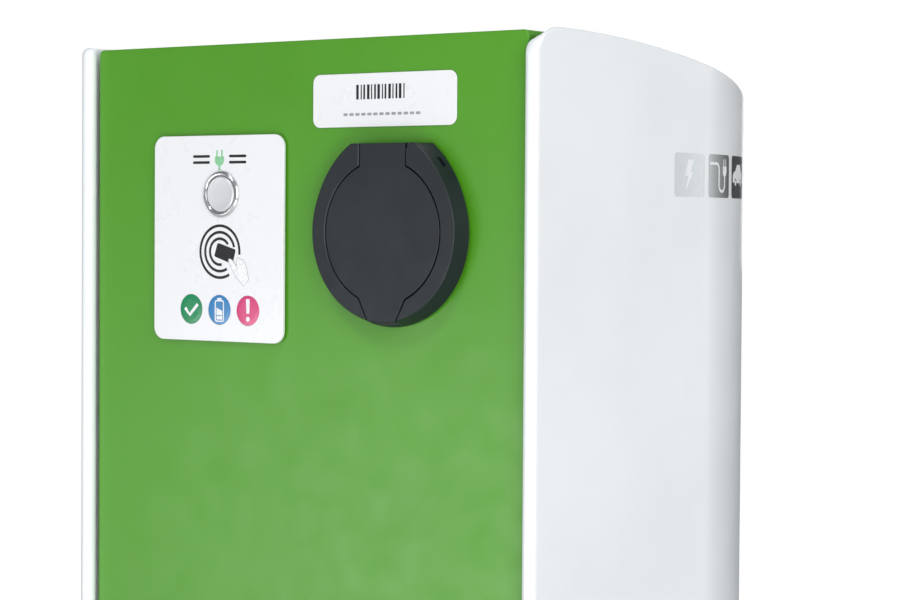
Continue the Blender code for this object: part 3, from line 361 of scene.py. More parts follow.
def grained_plastic(name, colour, roughness, grain, depth, edge=1.6, gloss=0.5):
    """Moulded plastic: fine grain, cloudy variation, and lighter edges that are partly rubbing wear and
    partly a painted highlight.
    """
    s = Shader(name, roughness, Specular_IOR_Level=gloss)
    cloud = s.remap(s.noise(22.0, 5.0, 0.6), 0.3, 0.7)
    base = s.blend(cloud, shade(colour, 0.88), shade(colour, 1.1))
    # Edges lightened by the edge factor: partly rubbing wear, partly a painted highlight along the rims.
    rubbed_and_highlit = s.times(s.edges(0.5 * MM), s.remap(s.noise(90.0), 0.3, 0.7, 0.35, 1.0))
    s.colour(s.blend(rubbed_and_highlit, base, shade(colour, edge)))
    s.patchy_gloss(70.0, 4.0, roughness - 0.06, roughness + 0.06)
    s.bump(s.noise(grain, 3.0, 0.7), depth)
    return s.material


def smooth_film(name, colour, roughness):
    """Glossy printed film or enamel: faint waviness, finger smudges in the gloss."""
    s = Shader(name, roughness, Coat_Weight=0.25, Coat_Roughness=0.1)
    s.colour(s.blend(s.remap(s.noise(14.0, 4.0), 0.3, 0.7), shade(colour, 0.997), shade(colour, 1.002)))
    s.rough(s.remap(s.noise(60.0, 5.0, 0.6), 0.35, 0.75, roughness - 0.01, roughness + 0.02))
    s.bump(s.noise(160.0, 2.0), 0.01 * MM, 0.3)
    return s.material


def brushed_metal(name, colour, roughness, stretch):
    """Metal with fine parallel scratches; stretch is the noise scale along each axis."""
    s = Shader(name, roughness, 1.0, Anisotropic=0.4)
    lines = s.noise(1.0, 4.0, 0.6, s.stretched(stretch))
    streaks = s.blend(s.remap(lines, 0.3, 0.7), shade(colour, 0.8), shade(colour, 1.12))
    s.colour(s.blend(s.times(s.edges(0.4 * MM), 0.5), streaks, shade(colour, 1.3)))
    s.patchy_gloss(80.0, 4.0, roughness - 0.06, roughness + 0.1)
    s.bump(lines, 0.02 * MM, 0.6)
    return s.material


def round_brushed(name, colour, roughness, metallic, centre):
    """Metal turned on a lathe: scratches run in rings about a centre on the door's face."""
    s = Shader(name, roughness, metallic)
    shift = s.add("ShaderNodeMapping")
    shift.inputs["Location"].default_value = (-centre[0], 0, -centre[1])
    s.wire(s.place, shift.inputs["Vector"])
    flat = s.add("ShaderNodeVectorMath", operation="MULTIPLY")
    s.wire(shift.outputs["Vector"], flat.inputs[0])
    flat.inputs[1].default_value = (1.0, 0.0, 1.0)
    reach = s.add("ShaderNodeVectorMath", operation="LENGTH")
    s.wire(flat.outputs["Vector"], reach.inputs[0])
    rings = s.add("ShaderNodeTexNoise", noise_dimensions="1D")
    rings.inputs["Scale"].default_value = 3000.0
    rings.inputs["Detail"].default_value = 3.0
    s.wire(reach.outputs["Value"], rings.inputs["W"])
    fine = s.blend(s.remap(rings.outputs["Fac"], 0.3, 0.7), shade(colour, 0.9), shade(colour, 1.08))
    s.colour(s.blend(s.remap(s.noise(120.0, 4.0), 0.5, 0.8, 0.0, 0.3), fine, shade(colour, 0.8)))
    s.patchy_gloss(90.0, 4.0, roughness - 0.05, roughness + 0.08)
    s.bump(rings.outputs["Fac"], 0.008 * MM, 0.6)
    return s.material


def galvanised_sheet(name, colour):
    """Hot-dip galvanised steel: crystal spangle, dull patches, pale edges."""
    s = Shader(name, 0.42, 1.0)
    crystals = s.cells(110.0, "Color")
    grey = s.add("ShaderNodeRGBToBW")
    s.wire(crystals, grey.inputs[0])
    spangle = s.blend(s.remap(grey.outputs[0], 0.2, 0.8), shade(colour, 0.78), shade(colour, 1.15))
    dull = s.blend(s.remap(s.noise(12.0, 5.0), 0.5, 0.7, 0.0, 0.5), spangle, (0.45, 0.46, 0.47))
    s.colour(s.blend(s.times(s.edges(0.6 * MM), 0.4), dull, (0.75, 0.76, 0.77)))
    s.rough(s.remap(grey.outputs[0], 0.2, 0.8, 0.34, 0.5))
    s.bump(s.cells(110.0), 0.03 * MM, 0.4)
    return s.material


def plated_steel(name, colour):
    """Zinc-plated fasteners and brackets: cloudy passivation and scuffed edges."""
    s = Shader(name, 0.3, 1.0)
    cloud = s.blend(s.remap(s.noise(60.0, 5.0), 0.35, 0.65), shade(colour, 0.82), (0.66, 0.65, 0.58))
    s.colour(s.blend(s.times(s.edges(0.5 * MM), 0.7), cloud, (0.8, 0.8, 0.8)))
    s.patchy_gloss(130.0, 4.0, 0.24, 0.42)
    s.bump(s.noise(500.0, 2.0), 0.01 * MM, 0.5)
    return s.material


def brass_bar(name, colour):
    s = Shader(name, 0.3, 1.0)
    stain = s.remap(s.noise(70.0, 6.0, 0.65), 0.4, 0.75)
    s.colour(s.blend(stain, colour, (0.42, 0.26, 0.1)))
    s.patchy_gloss(200.0, 4.0, 0.22, 0.4)
    s.bump(s.noise(1.0, 3.0, 0.6, s.stretched((60.0, 900.0, 900.0))), 0.01 * MM, 0.5)
    return s.material


def soft_rubber(name, colour):
    s = Shader(name, 0.75)
    chalk = s.remap(s.noise(50.0, 5.0), 0.5, 0.8, 0.0, 0.6)
    s.colour(s.blend(chalk, colour, (0.06, 0.06, 0.058)))
    s.patchy_gloss(120.0, 3.0, 0.65, 0.85)
    s.bump(s.noise(900.0, 2.0), 0.04 * MM)
    return s.material


def circuit_board(name, colour):
    """Solder mask over square copper traces."""
    s = Shader(name, 0.35)
    traces = s.add("ShaderNodeTexBrick", offset=0.37)
    traces.inputs["Scale"].default_value = 90.0
    traces.inputs["Mortar Size"].default_value = 0.08
    traces.inputs["Color1"].default_value = (*shade(colour, 0.8), 1.0)
    traces.inputs["Color2"].default_value = (*shade(colour, 1.1), 1.0)
    traces.inputs["Mortar"].default_value = (*shade(colour, 2.0), 1.0)
    turned_place = s.add("ShaderNodeMapping")
    turned_place.inputs["Rotation"].default_value = (math.radians(90), 0, 0)
    s.wire(s.place, turned_place.inputs["Vector"])
    s.wire(turned_place.outputs["Vector"], traces.inputs["Vector"])
    s.colour(traces.outputs["Color"])
    s.patchy_gloss(90.0, 3.0, 0.28, 0.45)
    s.bump(traces.outputs["Fac"], 0.03 * MM, 0.5)
    return s.material


def printed_ink(name, colour, roughness=0.4):
    """Screen-printed ink with slightly uneven cover."""
    s = Shader(name, roughness)
    cover = s.remap(s.noise(700.0, 3.0), 0.35, 0.65)
    s.colour(s.blend(cover, shade(colour, 0.9), shade(colour, 1.12)))
    s.patchy_gloss(300.0, 3.0, roughness - 0.05, roughness + 0.08)
    s.bump(s.noise(900.0, 2.0), 0.005 * MM)
    return s.material


def shade_painted_foil(name, stops):
    """A side foil with painted light: its grey rises to a painted highlight where the side starts to curve,
    then darkens towards the back of the post as painted shade; stops are (depth, grey).
    """
    s = Shader(name, 0.35, Coat_Weight=0.2, Coat_Roughness=0.2)
    # The ramp along Y paints the side's highlight and shade into the foil's grey.
    axes = s.add("ShaderNodeSeparateXYZ")
    s.wire(s.place, axes.inputs[0])
    ramp = s.add("ShaderNodeValToRGB")
    first, last = stops[0][0], stops[-1][0]
    s.wire(s.remap(axes.outputs["Y"], first, last), ramp.inputs["Fac"])
    for number, (depth, grey) in enumerate(stops):
        position = (depth - first) / (last - first)
        elements = ramp.color_ramp.elements
        stop = elements[number] if number < 2 else elements.new(position)
        stop.position = position
        stop.color = (grey * 0.94, grey * 0.995, grey * 1.01, 1.0)
    dusty = s.remap(s.noise(300.0), 0.4, 0.7, 0.0, 0.12)
    s.colour(s.blend(dusty, ramp.outputs["Color"], (0.3, 0.32, 0.33)))
    s.patchy_gloss(150.0, 3.0, 0.3, 0.45)
    s.bump(s.noise(500.0, 2.0), 0.005 * MM, 0.4)
    return s.material


def painted_floor():
    s = Shader("studio_floor", 0.85)
    s.colour(s.blend(s.remap(s.noise(1.5, 4.0), 0.3, 0.7), (0.86, 0.86, 0.86), (0.88, 0.88, 0.88)))
    return s.material


FINISHES = {
    "white_coat": powder_coat("white_coat", (0.80, 0.825, 0.845), 0.34, 0.3),
    "green_coat": powder_coat("green_coat", (0.071, 0.29, 0.010), 0.34, 0.06),
    "anthracite_plastic": grained_plastic("anthracite_plastic", (0.006, 0.0105, 0.0145), 0.44, 1100.0,
                                          0.02 * MM, 6.0, 0.46),
    "socket_plastic": grained_plastic("socket_plastic", (0.02, 0.022, 0.025), 0.45, 900.0, 0.02 * MM, 2.2),
    "white_plastic": smooth_film("white_plastic", (0.80, 0.805, 0.83), 0.28),
    "grey_plastic": grained_plastic("grey_plastic", (0.5, 0.52, 0.53), 0.45, 800.0, 0.02 * MM, 1.3),
    "galvanised": galvanised_sheet("galvanised", (0.5, 0.52, 0.54)),
    "steel": plated_steel("steel", (0.6, 0.6, 0.6)),
    "brushed_steel": brushed_metal("brushed_steel", (0.66, 0.66, 0.67), 0.24, (700.0, 700.0, 60.0)),
    "brass": brass_bar("brass", (0.75, 0.55, 0.22)),
    "rubber": soft_rubber("rubber", (0.015, 0.015, 0.015)),
    "board": circuit_board("board", (0.02, 0.16, 0.07)),
    "blue_plastic": grained_plastic("blue_plastic", (0.03, 0.12, 0.45), 0.4, 800.0, 0.015 * MM, 1.4),
    "cable": grained_plastic("cable", (0.02, 0.02, 0.022), 0.5, 500.0, 0.05 * MM, 1.8),
    "lens_green": smooth_film("lens_green", (0.004, 0.235, 0.085), 0.22),
    "lens_blue": smooth_film("lens_blue", (0.035, 0.21, 0.47), 0.22),
    "lens_pink": smooth_film("lens_pink", (0.62, 0.055, 0.19), 0.22),
}
INK = printed_ink("ink_dark", (0.004, 0.004, 0.006))
PALE_INK = printed_ink("ink_pale", (0.8, 0.81, 0.83))
GREY_INK = printed_ink("ink_grey", (0.3, 0.31, 0.33))
GREEN_INK = printed_ink("ink_green", (0.24, 0.55, 0.3))
SCREEN = smooth_film("display_glass", (0.28, 0.34, 0.27), 0.15)
BUTTON_STEEL = round_brushed("button_steel", (0.66, 0.66, 0.68), 0.16, 1.0, BUTTON_CENTRE)
CAP_STEEL = round_brushed("cap_steel", (0.7, 0.71, 0.73), 0.42, 0.5, BUTTON_CENTRE)


# ---------------------------------------------------------------- making pieces

def piece(name, mesh, finish, body, replaced=(), sharp=32):
    """An object from a bmesh in world coordinates, shaded, finished and riding its body."""
    data = bpy.data.meshes.new(name)
    bmesh.ops.remove_doubles(mesh, verts=mesh.verts, dist=0.5e-6)
    mesh.to_mesh(data)
    mesh.free()
    data.shade_smooth()
    data.set_sharp_from_angle(angle=math.radians(sharp))
    data.materials.append(FINISHES[finish] if isinstance(finish, str) else finish)
    made = bpy.data.objects.new(name, data)
    bpy.context.scene.collection.objects.link(made)
    weighted = made.modifiers.new("normals", "WEIGHTED_NORMAL")
    weighted.keep_sharp = True
    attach(made, body)
    if replaced:
        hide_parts(*replaced)


def cut(mesh, *cutters, joined=()):
    """A bmesh with the cutters' solids removed and the joined ones added."""
    data = bpy.data.meshes.new("work")
    mesh.to_mesh(data)
    mesh.free()
    work = bpy.data.objects.new("work", data)
    bpy.context.scene.collection.objects.link(work)
    for operation, solids in (("UNION", joined), ("DIFFERENCE", cutters)):
        for solid in solids:
            tool_data = bpy.data.meshes.new("tool")
            solid.to_mesh(tool_data)
            solid.free()
            tool = bpy.data.objects.new("tool", tool_data)
            bpy.context.scene.collection.objects.link(tool)
            modifier = work.modifiers.new("solid", "BOOLEAN")
            modifier.operation, modifier.solver, modifier.object = operation, "EXACT", tool
            graph = bpy.context.evaluated_depsgraph_get()
            work.data = bpy.data.meshes.new_from_object(work.evaluated_get(graph))
            work.modifiers.clear()
            bpy.data.objects.remove(tool, do_unlink=True)
    result = bmesh.new()
    result.from_mesh(work.data)
    bpy.data.objects.remove(work, do_unlink=True)
    return result


def foil(name, shapes, place, finish, body, thickness=0.05 * MM, slices=0.0):
    """Flat shapes laid on a surface; place(a, b) gives the point for 2D coordinates in metres.

    slices is the width of the strips that the shapes are cut into so that they follow a curve.
    """
    mesh = bmesh.new()
    for shape in shapes:
        mesh.faces.new([mesh.verts.new((a, b, 0)) for a, b in shape])
    bmesh.ops.remove_doubles(mesh, verts=mesh.verts, dist=1e-6)
    if slices:
        low, high = min(v.co.x for v in mesh.verts), max(v.co.x for v in mesh.verts)
        for number in range(1, int((high - low) / slices) + 1):
            parts = list(mesh.verts) + list(mesh.edges) + list(mesh.faces)
            spot = (low + number * slices, 0, 0)
            bmesh.ops.bisect_plane(mesh, geom=parts, plane_co=spot, plane_no=(1, 0, 0))
    bmesh.ops.triangulate(mesh, faces=[face for face in mesh.faces if len(face.verts) > 4])
    for face in mesh.faces:
        if face.normal.z < 0:
            face.normal_flip()
    for vertex in mesh.verts:
        vertex.co = place(vertex.co.x, vertex.co.y)
    bottom = {v: mesh.verts.new(place.backed(v.co, thickness)) for v in list(mesh.verts)}
    top_faces, rim = list(mesh.faces), [edge for edge in mesh.edges if len(edge.link_faces) == 1]
    rim_pairs = []
    for edge in rim:
        loop = edge.link_loops[0]
        rim_pairs.append((loop.vert, loop.link_loop_next.vert))
    for face in top_faces:
        mesh.faces.new([bottom[v] for v in reversed(face.verts)])
    for first, second in rim_pairs:
        mesh.faces.new((second, first, bottom[first], bottom[second]))
    bmesh.ops.recalc_face_normals(mesh, faces=mesh.faces)
    piece(name, mesh, finish, body)


def door_print(name, shapes, place, ink, thickness=0.03 * MM):
    """A print on a white piece of the door."""
    foil(name, shapes, place, ink, "door", thickness)


class FlatPlace:
    """Places 2D points, measured from a centre, on a face that looks towards -Y."""

    def __init__(self, x, z, y):
        self.x, self.z, self.y = x, z, y

    def __call__(self, a, b):
        return Vector((self.x + a, self.y, self.z + b))

    def backed(self, point, thickness):
        return point + Vector((0, thickness, 0))


def stroke(points, width, closed=False):
    """A line of a given width as four-sided shapes along a list of 2D points."""
    points = [Vector(p) for p in points]
    count = len(points)
    sides = []
    for i, point in enumerate(points):
        before = points[i - 1] if closed or i else point
        after = points[(i + 1) % count] if closed or i < count - 1 else point
        along = (after - before).normalized()
        across = Vector((-along.y, along.x)) * width / 2
        sides.append((tuple(point + across), tuple(point - across)))
    pairs = list(zip(sides, sides[1:]))
    if closed:
        pairs.append((sides[-1], sides[0]))
    return [[a[0], a[1], b[1], b[0]] for a, b in pairs]


def moved(shape, dx, dy, scale=1.0):
    return [(dx + x * scale, dy + y * scale) for x, y in shape]


# ---------------------------------------------------------------- the shell and the roof

ARCH_RADIUS = 931 * MM
ARCH_CROWN_Y = PANEL_Y + 19 * MM
NOSES = {-1: (5 * MM, 5 * MM), 1: (22 * MM, 18 * MM)}    # length and drop, left and right
WALL = 3 * MM - 2 * SKIN
BEAD_RADIUS = 4.2 * MM
BEAD_Y = PANEL_Y - 2.5 * MM
SIDE_END_Y = PANEL_Y + 158.5 * MM
HALF = SHELL_HIGH.x - SKIN


def arch_height(y):
    return TOP_Z - ARCH_RADIUS + math.sqrt(ARCH_RADIUS ** 2 - (y - ARCH_CROWN_Y) ** 2)


def rim_height(x, y):
    """Height of the shell's top edge: a round nose at the front, then the long arch."""
    length, drop = NOSES[1 if x > 0 else -1]
    nose_y = BEAD_Y - BEAD_RADIUS
    along = (y - nose_y) / length
    if along >= 1:
        return arch_height(y)
    rise = math.sqrt(max(0.0, 1 - (1 - along) ** 2))
    return arch_height(nose_y + length) - drop * (1 - rise)


def back_points(inset, steps):
    """The half-ellipse of the back, from the right side round to the left one."""
    width, depth = HALF - inset, SHELL_HIGH.y - SKIN - SIDE_END_Y - inset
    angles = [math.pi * i / steps for i in range(steps + 1)]
    return [(width * math.cos(a), SIDE_END_Y + depth * math.sin(a)) for a in angles]


def wrap_pairs():
    """(outer, inner) plan points from the left bead round the back to the right bead."""
    bead_x, inner_x = HALF - BEAD_RADIUS, HALF - WALL
    meet = math.degrees(math.acos((inner_x - bead_x) / BEAD_RADIUS))
    front = []
    for degrees in range(4, 90, 6):
        outer = on_circle(bead_x, BEAD_Y, BEAD_RADIUS, 270 + degrees)
        front.append((outer, (2 * bead_x - outer[0], outer[1])))
    tail_start = BEAD_Y + BEAD_RADIUS * math.sin(math.radians(meet))
    for i in range(1, 11):
        inner = on_circle(bead_x, BEAD_Y, BEAD_RADIUS, 180 - (180 - meet) * i / 10)
        front.append(((HALF, BEAD_Y + (tail_start - BEAD_Y) * i / 10), inner))
    for i in range(1, 21):
        y = tail_start + (SIDE_END_Y - tail_start) * i / 21
        front.append(((HALF, y), (inner_x, y)))
    left = [((-a, b), (-c, d)) for (a, b), (c, d) in front]
    curve = list(zip(back_points(0, 96), back_points(WALL, 96)))
    return left + curve[::-1] + front[::-1]


def make_shell():
    """The wrapped sheet: each plan pair carries a rib of points up, over the rounded rim and down."""
    mesh = bmesh.new()
    bottom, levels, over = SHELL_LOW.z, 24, 10
    ribs = []
    for outer, inner in wrap_pairs():
        half = (Vector(outer) - Vector(inner)).length / 2
        dome = min(3.4 * MM, 0.85 * half)
        top = rim_height(*outer)
        rise = [bottom + (top - dome - bottom) * i / levels for i in range(levels + 1)]
        points = [(*outer, z) for z in rise]
        for i in range(1, over):
            angle = math.pi * i / over
            across = (1 - math.cos(angle)) / 2
            x, y = Vector(outer).lerp(Vector(inner), across)
            points.append((x, y, top - dome * (1 - math.sin(angle))))
        points += [(*inner, z) for z in reversed(rise)]
        ribs.append([mesh.verts.new(point) for point in points])
    for rib, following in zip(ribs, ribs[1:]):
        for i in range(len(rib)):
            j = (i + 1) % len(rib)
            mesh.faces.new((rib[i], rib[j], following[j], following[i]))
    mesh.faces.new(ribs[0])
    mesh.faces.new(ribs[-1][::-1])
    bmesh.ops.recalc_face_normals(mesh, faces=mesh.faces)
    piece("shell_wrap", mesh, "white_coat", "post", ["body_shell"], 50)


def make_roof():
    """The arched roof sheet, with its front edge folded down behind the door."""
    inset, recess, sheet = 3.3 * MM, 1.5 * MM, 2 * MM
    front, back = ROOF_LOW.y, SHELL_HIGH.y - SKIN - inset
    half = HALF - inset
    depth = back - SIDE_END_Y

    def half_width(y):
        if y <= SIDE_END_Y:
            return half
        return half * math.sqrt(max(0.0, 1 - ((y - SIDE_END_Y) / depth) ** 2))

    flat = [front + (SIDE_END_Y - front) * i / 12 for i in range(13)]
    round_part = [SIDE_END_Y + depth * math.sin(math.radians(a)) for a in range(5, 86, 5)]
    rows = [(y, arch_height(y) - recess) for y in flat + round_part + [SIDE_END_Y + depth * 0.9995]]
    lip = [(front, rows[0][1] - drop) for drop in (5.5 * MM, 1.2 * MM)]
    rows = lip + [(front + 0.35 * MM, rows[0][1] - 0.35 * MM), (front + 1.2 * MM, rows[0][1])] + rows[1:]
    mesh = bmesh.new()
    across = [i / 8 - 1 for i in range(17)]
    grid = [[mesh.verts.new((half_width(y) * t, y, z)) for t in across] for y, z in rows]
    for near, far in zip(grid, grid[1:]):
        for i in range(16):
            mesh.faces.new((near[i], near[i + 1], far[i + 1], far[i]))
    bmesh.ops.recalc_face_normals(mesh, faces=mesh.faces)
    if mesh.faces[-1].normal.z < 0:
        bmesh.ops.reverse_faces(mesh, faces=mesh.faces)
    bmesh.ops.solidify(mesh, geom=mesh.faces[:], thickness=sheet)
    piece("roof_sheet", mesh, "white_coat", "post", ["roof_cap"], 50)


# ---------------------------------------------------------------- pictograms on the right side

class SidePlace:
    """Places 2D points on the right side: a runs back along the sheet from where it starts to curve."""

    def __init__(self, z, proud):
        self.z, self.proud = z, proud

    def __call__(self, a, b):
        if a <= 0:
            return Vector((HALF + self.proud, SIDE_END_Y + a, self.z + b))
        width, depth = HALF, SHELL_HIGH.y - SKIN - SIDE_END_Y
        angle = a / ((width + depth) / 2)
        out = Vector((math.cos(angle) * depth, math.sin(angle) * width, 0)).normalized()
        on_sheet = Vector((width * math.cos(angle), SIDE_END_Y + depth * math.sin(angle), self.z + b))
        return on_sheet + out * self.proud

    def backed(self, point, thickness):
        if point.y <= SIDE_END_Y:
            return point - Vector((thickness, 0, 0))
        out = Vector((point.x, point.y - SIDE_END_Y, 0)).normalized()
        return point - out * thickness


def bolt_shapes():
    """A lightning bolt as one outline."""
    return [[(-1.5, 8.5), (4.8, 8.5), (0.8, 1.8), (4.2, 1.8), (-4.4, -8.8), (-1.2, -0.6), (-4.6, -0.6)]]


def plug_shapes():
    """A two-pin plug head with its cable in a U bend, in a square 24 units high."""
    head = [(4.2, 5.6), (9.8, 5.6)] + [(9.8, 2.6)] + arc(7.0, 2.6, 2.8, -10, -170, 10) + [(4.2, 2.6)]
    pins = [[(x - 0.45, 5.4), (x + 0.45, 5.4), (x + 0.45, 9.6), (x - 0.45, 9.6)] for x in (5.5, 8.5)]
    path = [(7.0, 0.2), (7.0, -4.0)] + arc(3.0, -4.6, 4.0, 0, -180, 14)
    path += [(-1.0, 2.0)] + arc(-4.2, 3.8, 3.2, 0, 90, 6) + [(-12.6, 7.0)]
    return [head] + pins + stroke(path, 1.5)


def car_shapes():
    """A small car seen from its side, with the wheels left dark."""
    body = [(-13, -3.2), (-13.2, 0.6), (-11.6, 2.6), (-7.6, 3.6), (-3.6, 7.2), (4.8, 7.4), (8.6, 3.8),
            (11.8, 2.8), (12.6, -3.2), (9.4, -3.2)]
    body += arc(7.0, -3.2, 2.5, 0, 180, 10) + arc(-7.2, -3.2, 2.5, 0, 180, 10)
    wheels = [circle(x, -3.3, 1.7, 20) for x in (7.0, -7.2)]
    return [body] + wheels


# Painted light on the side tiles, as (mm behind the start of the curve, grey): a painted highlight at -1 and
# painted shade behind it.
SIDE_PAINTED_SHADE = [(-32, 0.64), (-1, 0.76), (4, 0.55), (14, 0.34), (26, 0.16), (34, 0.06), (40, 0.02), (66, 0.012)]


def make_side_pictograms():
    height, middle_z = 24.2 * MM, SOCKET_Z + 32.6 * MM
    tiles = {"bolt": (-15.3 * MM, 31.9 * MM, bolt_shapes), "plug": (19.2 * MM, 28.2 * MM, plug_shapes),
             "car": (54.0 * MM, 31.0 * MM, car_shapes)}
    stops = [(SIDE_END_Y + depth * MM, grey) for depth, grey in SIDE_PAINTED_SHADE]
    # The tiles' grey is a painted highlight and painted shade that follow the curve of the side.
    painted_shade_ground = shade_painted_foil("side_foil_painted_shade", stops)
    for name, (centre, width, shapes) in tiles.items():
        tile = rounded_rectangle(centre, 0, width, height, 2.4 * MM, 6)
        foil(f"pictogram_tile_{name}", [tile], SidePlace(middle_z, 0.06 * MM), painted_shade_ground, "post",
             0.05 * MM, 2 * MM)
        drawn = [moved(shape, centre, 0, MM) for shape in shapes()]
        foil(f"pictogram_{name}", drawn, SidePlace(middle_z, 0.1 * MM), PALE_INK, "post",
             0.03 * MM, 2 * MM)


# ---------------------------------------------------------------- the door

def make_door():
    """The folded door tray, with its openings and the notches for the hinges and the loom."""
    height = DOOR_HIGH.z - DOOR_LOW.z
    centre_z = middle(DOOR_LOW.z, DOOR_HIGH.z)
    width, sheet = 2 * DOOR_HIGH.x, 2 * MM
    shape = shrinking_rectangle(0, centre_z, width, height, 3 * MM)
    inner = shrinking_rectangle(0, centre_z, width - 2 * sheet, height - 2 * sheet, 1.2 * MM)
    outside = soft_prism(shape, "Y", PANEL_Y, DOOR_HIGH.y, 0.9 * MM, 0.3 * MM, 6)
    pocket = soft_prism(inner, "Y", PANEL_Y + sheet, DOOR_HIGH.y + 5 * MM, 0.8 * MM)
    through = (PANEL_Y - 5 * MM, PANEL_Y + 5 * MM)
    tools = [pocket, rod(PANEL_HOLE, "Y", (SOCKET_X, SOCKET_Z), *through, FINE),
             prism(rounded_rectangle(*READER_CENTRE, *READER_WINDOW), "Y", *through),
             rod(LOCK_HOLE, "Y", LOCK_CENTRE, *through)]
    hinges = [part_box(f"hinge_bracket_{name}") for name in ("lower", "upper")]
    notches = [(low.z - 5 * MM, high.z + 5 * MM) for low, high in hinges] + [LOOM_NOTCH]
    for low, high in notches:
        x_low, x_high = DOOR_LOW.x - 5 * MM, DOOR_LOW.x + 5 * MM
        tools.append(block(x_low, x_high, PANEL_Y + sheet + 0.2 * MM, DOOR_HIGH.y + 5 * MM, low, high))
    piece("door_skin", cut(outside, *tools), "green_coat", "door", ["front_panel"])


def make_label():
    size = LABEL_HIGH - LABEL_LOW
    shape = shrinking_rectangle(*centre_of(LABEL_LOW, LABEL_HIGH), size.x, size.z, 4.6 * MM)
    face = LABEL_LOW.y + 0.02 * MM
    plate = soft_prism(shape, "Y", face, LABEL_HIGH.y, 0.2 * MM)
    piece("label_plate", plate, "white_plastic", "door", ["identification_label"])
    spot = FlatPlace(SOCKET_X, SOCKET_Z, face - 0.02 * MM)
    bars, start = [], -25.6 * MM
    foot, head = 70.6 * MM, 78.4 * MM
    for number in range(14):
        wide = (1.7, 0.8, 1.2)[number % 3] * MM
        bars.append([(start, foot), (start + wide, foot), (start + wide, head), (start, head)])
        start += wide + (1.3, 1.0)[number % 2] * MM
    door_print("label_bars", bars, spot, INK, 0.02 * MM)
    dashes = []
    for number in range(13):
        x_low = (-34.3 + 4.05 * number) * MM
        dashes.append(rounded_rectangle(x_low + 1.5 * MM, 62.7 * MM, 3.0 * MM, 1.5 * MM, 0.6 * MM, 3))
    door_print("label_dashes", dashes, spot, GREY_INK, 0.02 * MM)


def make_lock():
    x, z = LOCK_CENTRE
    flange, barrel, bore = LOCK_HIGH.x - x, 8 * MM, 5.3 * MM
    front, seat, end = LOCK_LOW.y, PANEL_Y - 0.3 * MM, LOCK_HIGH.y
    profile = [(bore, front + 0.1 * MM), (flange - 1.2 * MM, front), (flange, front + 1.4 * MM),
               (flange, seat), (barrel, seat), (barrel, end), (bore, end)]
    ring = turned(softened(profile, 0.35 * MM), "Y", LOCK_CENTRE)
    piece("lock_ring", ring, "brushed_steel", "door", ["lock_barrel"])
    core_front, core = front + 0.3 * MM, 5 * MM
    cam_front, cam_back = PANEL_Y + 29 * MM, PANEL_Y + 32 * MM
    profile = [(0, core_front), (core, core_front), (core, CORE_HIGH.y), (0, CORE_HIGH.y)]
    body = turned(softened(profile, 0.4 * MM), "Y", LOCK_CENTRE)
    cam = arc(x, z, 8 * MM, 0, 180, 24) + arc(x, z - 16 * MM, 6 * MM, 200, 340, 12)
    slot = rounded_rectangle(x, z, 1.4 * MM, 6 * MM, 0.5 * MM)
    ward = rod(1.7 * MM, "Y", LOCK_CENTRE, front - MM, front + 2.4 * MM)
    shaped = cut(body, prism(slot, "Y", front - MM, front + 3 * MM), ward,
                 joined=[prism(cam, "Y", cam_front, cam_back)])
    piece("lock_plug", shaped, "brushed_steel", "key_core", ["lock_core"])


# ---------------------------------------------------------------- reader panel

LENSES = {"ready": "lens_green", "charging": "lens_blue", "fault": "lens_pink"}


def make_reader():
    size = READER_HIGH - READER_LOW
    shape = shrinking_rectangle(*READER_CENTRE, size.x, size.z, 7 * MM, 10)
    plate = soft_prism(shape, "Y", READER_LOW.y, READER_HIGH.y, 0.5 * MM)
    through = (READER_LOW.y - MM, READER_HIGH.y + MM)
    lenses = [centre_of(*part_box(f"status_lens_{name}")) for name in LENSES]
    holes = [rod(8.35 * MM, "Y", lens, *through, MEDIUM) for lens in lenses]
    holes.append(rod(11.2 * MM, "Y", BUTTON_CENTRE, *through, MEDIUM))
    piece("reader_plate", cut(plate, *holes), "white_plastic", "door", ["reader_panel"])
    low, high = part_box("reader_gasket")
    pad = shrinking_rectangle(*READER_CENTRE, high.x - low.x, high.z - low.z, 5.5 * MM)
    window = prism(rounded_rectangle(*READER_CENTRE, *READER_WINDOW), "Y", low.y - MM, high.y + MM)
    edge_strip = cut(soft_prism(pad, "Y", low.y, high.y, 0.1 * MM, 0.1 * MM, 2), window)
    piece("gasket_pad", edge_strip, "rubber", "door", ["reader_gasket"])


def lens_icons():
    """White line drawings for the three lenses, in millimetres from each lens's centre."""
    tick = stroke([(-4.6, 0.6), (-1.2, -3.2), (4.8, 2.8)], 1.9)
    case = rounded_rectangle(0, -0.6, 6.0, 11.4, 0.9, 4)
    battery = stroke(case, 0.75, closed=True) + [[(-1.5, 5.4), (1.5, 5.4), (1.5, 6.6), (-1.5, 6.6)]]
    battery += [[(-2.1, -5.4), (2.1, -5.4), (2.1, -3.4), (-2.1, -3.4)],
                [(-2.1, -3.0), (2.1, -3.0), (2.1, -0.6), (-2.1, 1.2)]]
    mark = [[(-1.05, -1.6), (1.05, -1.6), (1.35, 6.4), (-1.35, 6.4)], circle(0, -4.6, 1.35, 24)]
    return {"ready": tick, "charging": battery, "fault": mark}


def make_lenses():
    icons = lens_icons()
    for name, finish in LENSES.items():
        low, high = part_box(f"status_lens_{name}")
        centre = centre_of(low, high)
        radius = (high.x - low.x) / 2
        crown = low.y + 0.03 * MM
        profile = [(0, crown), (radius * 0.7, crown), (radius, crown + 0.1 * MM), (radius, high.y),
                   (0, high.y)]
        disc = turned(softened(profile, 0.12 * MM), "Y", centre)
        piece(f"lens_{name}", disc, finish, "door", [f"status_lens_{name}"])
        drawn = [moved(shape, 0, 0, MM) for shape in icons[name]]
        door_print(f"lens_icon_{name}", drawn, FlatPlace(*centre, low.y), PALE_INK)


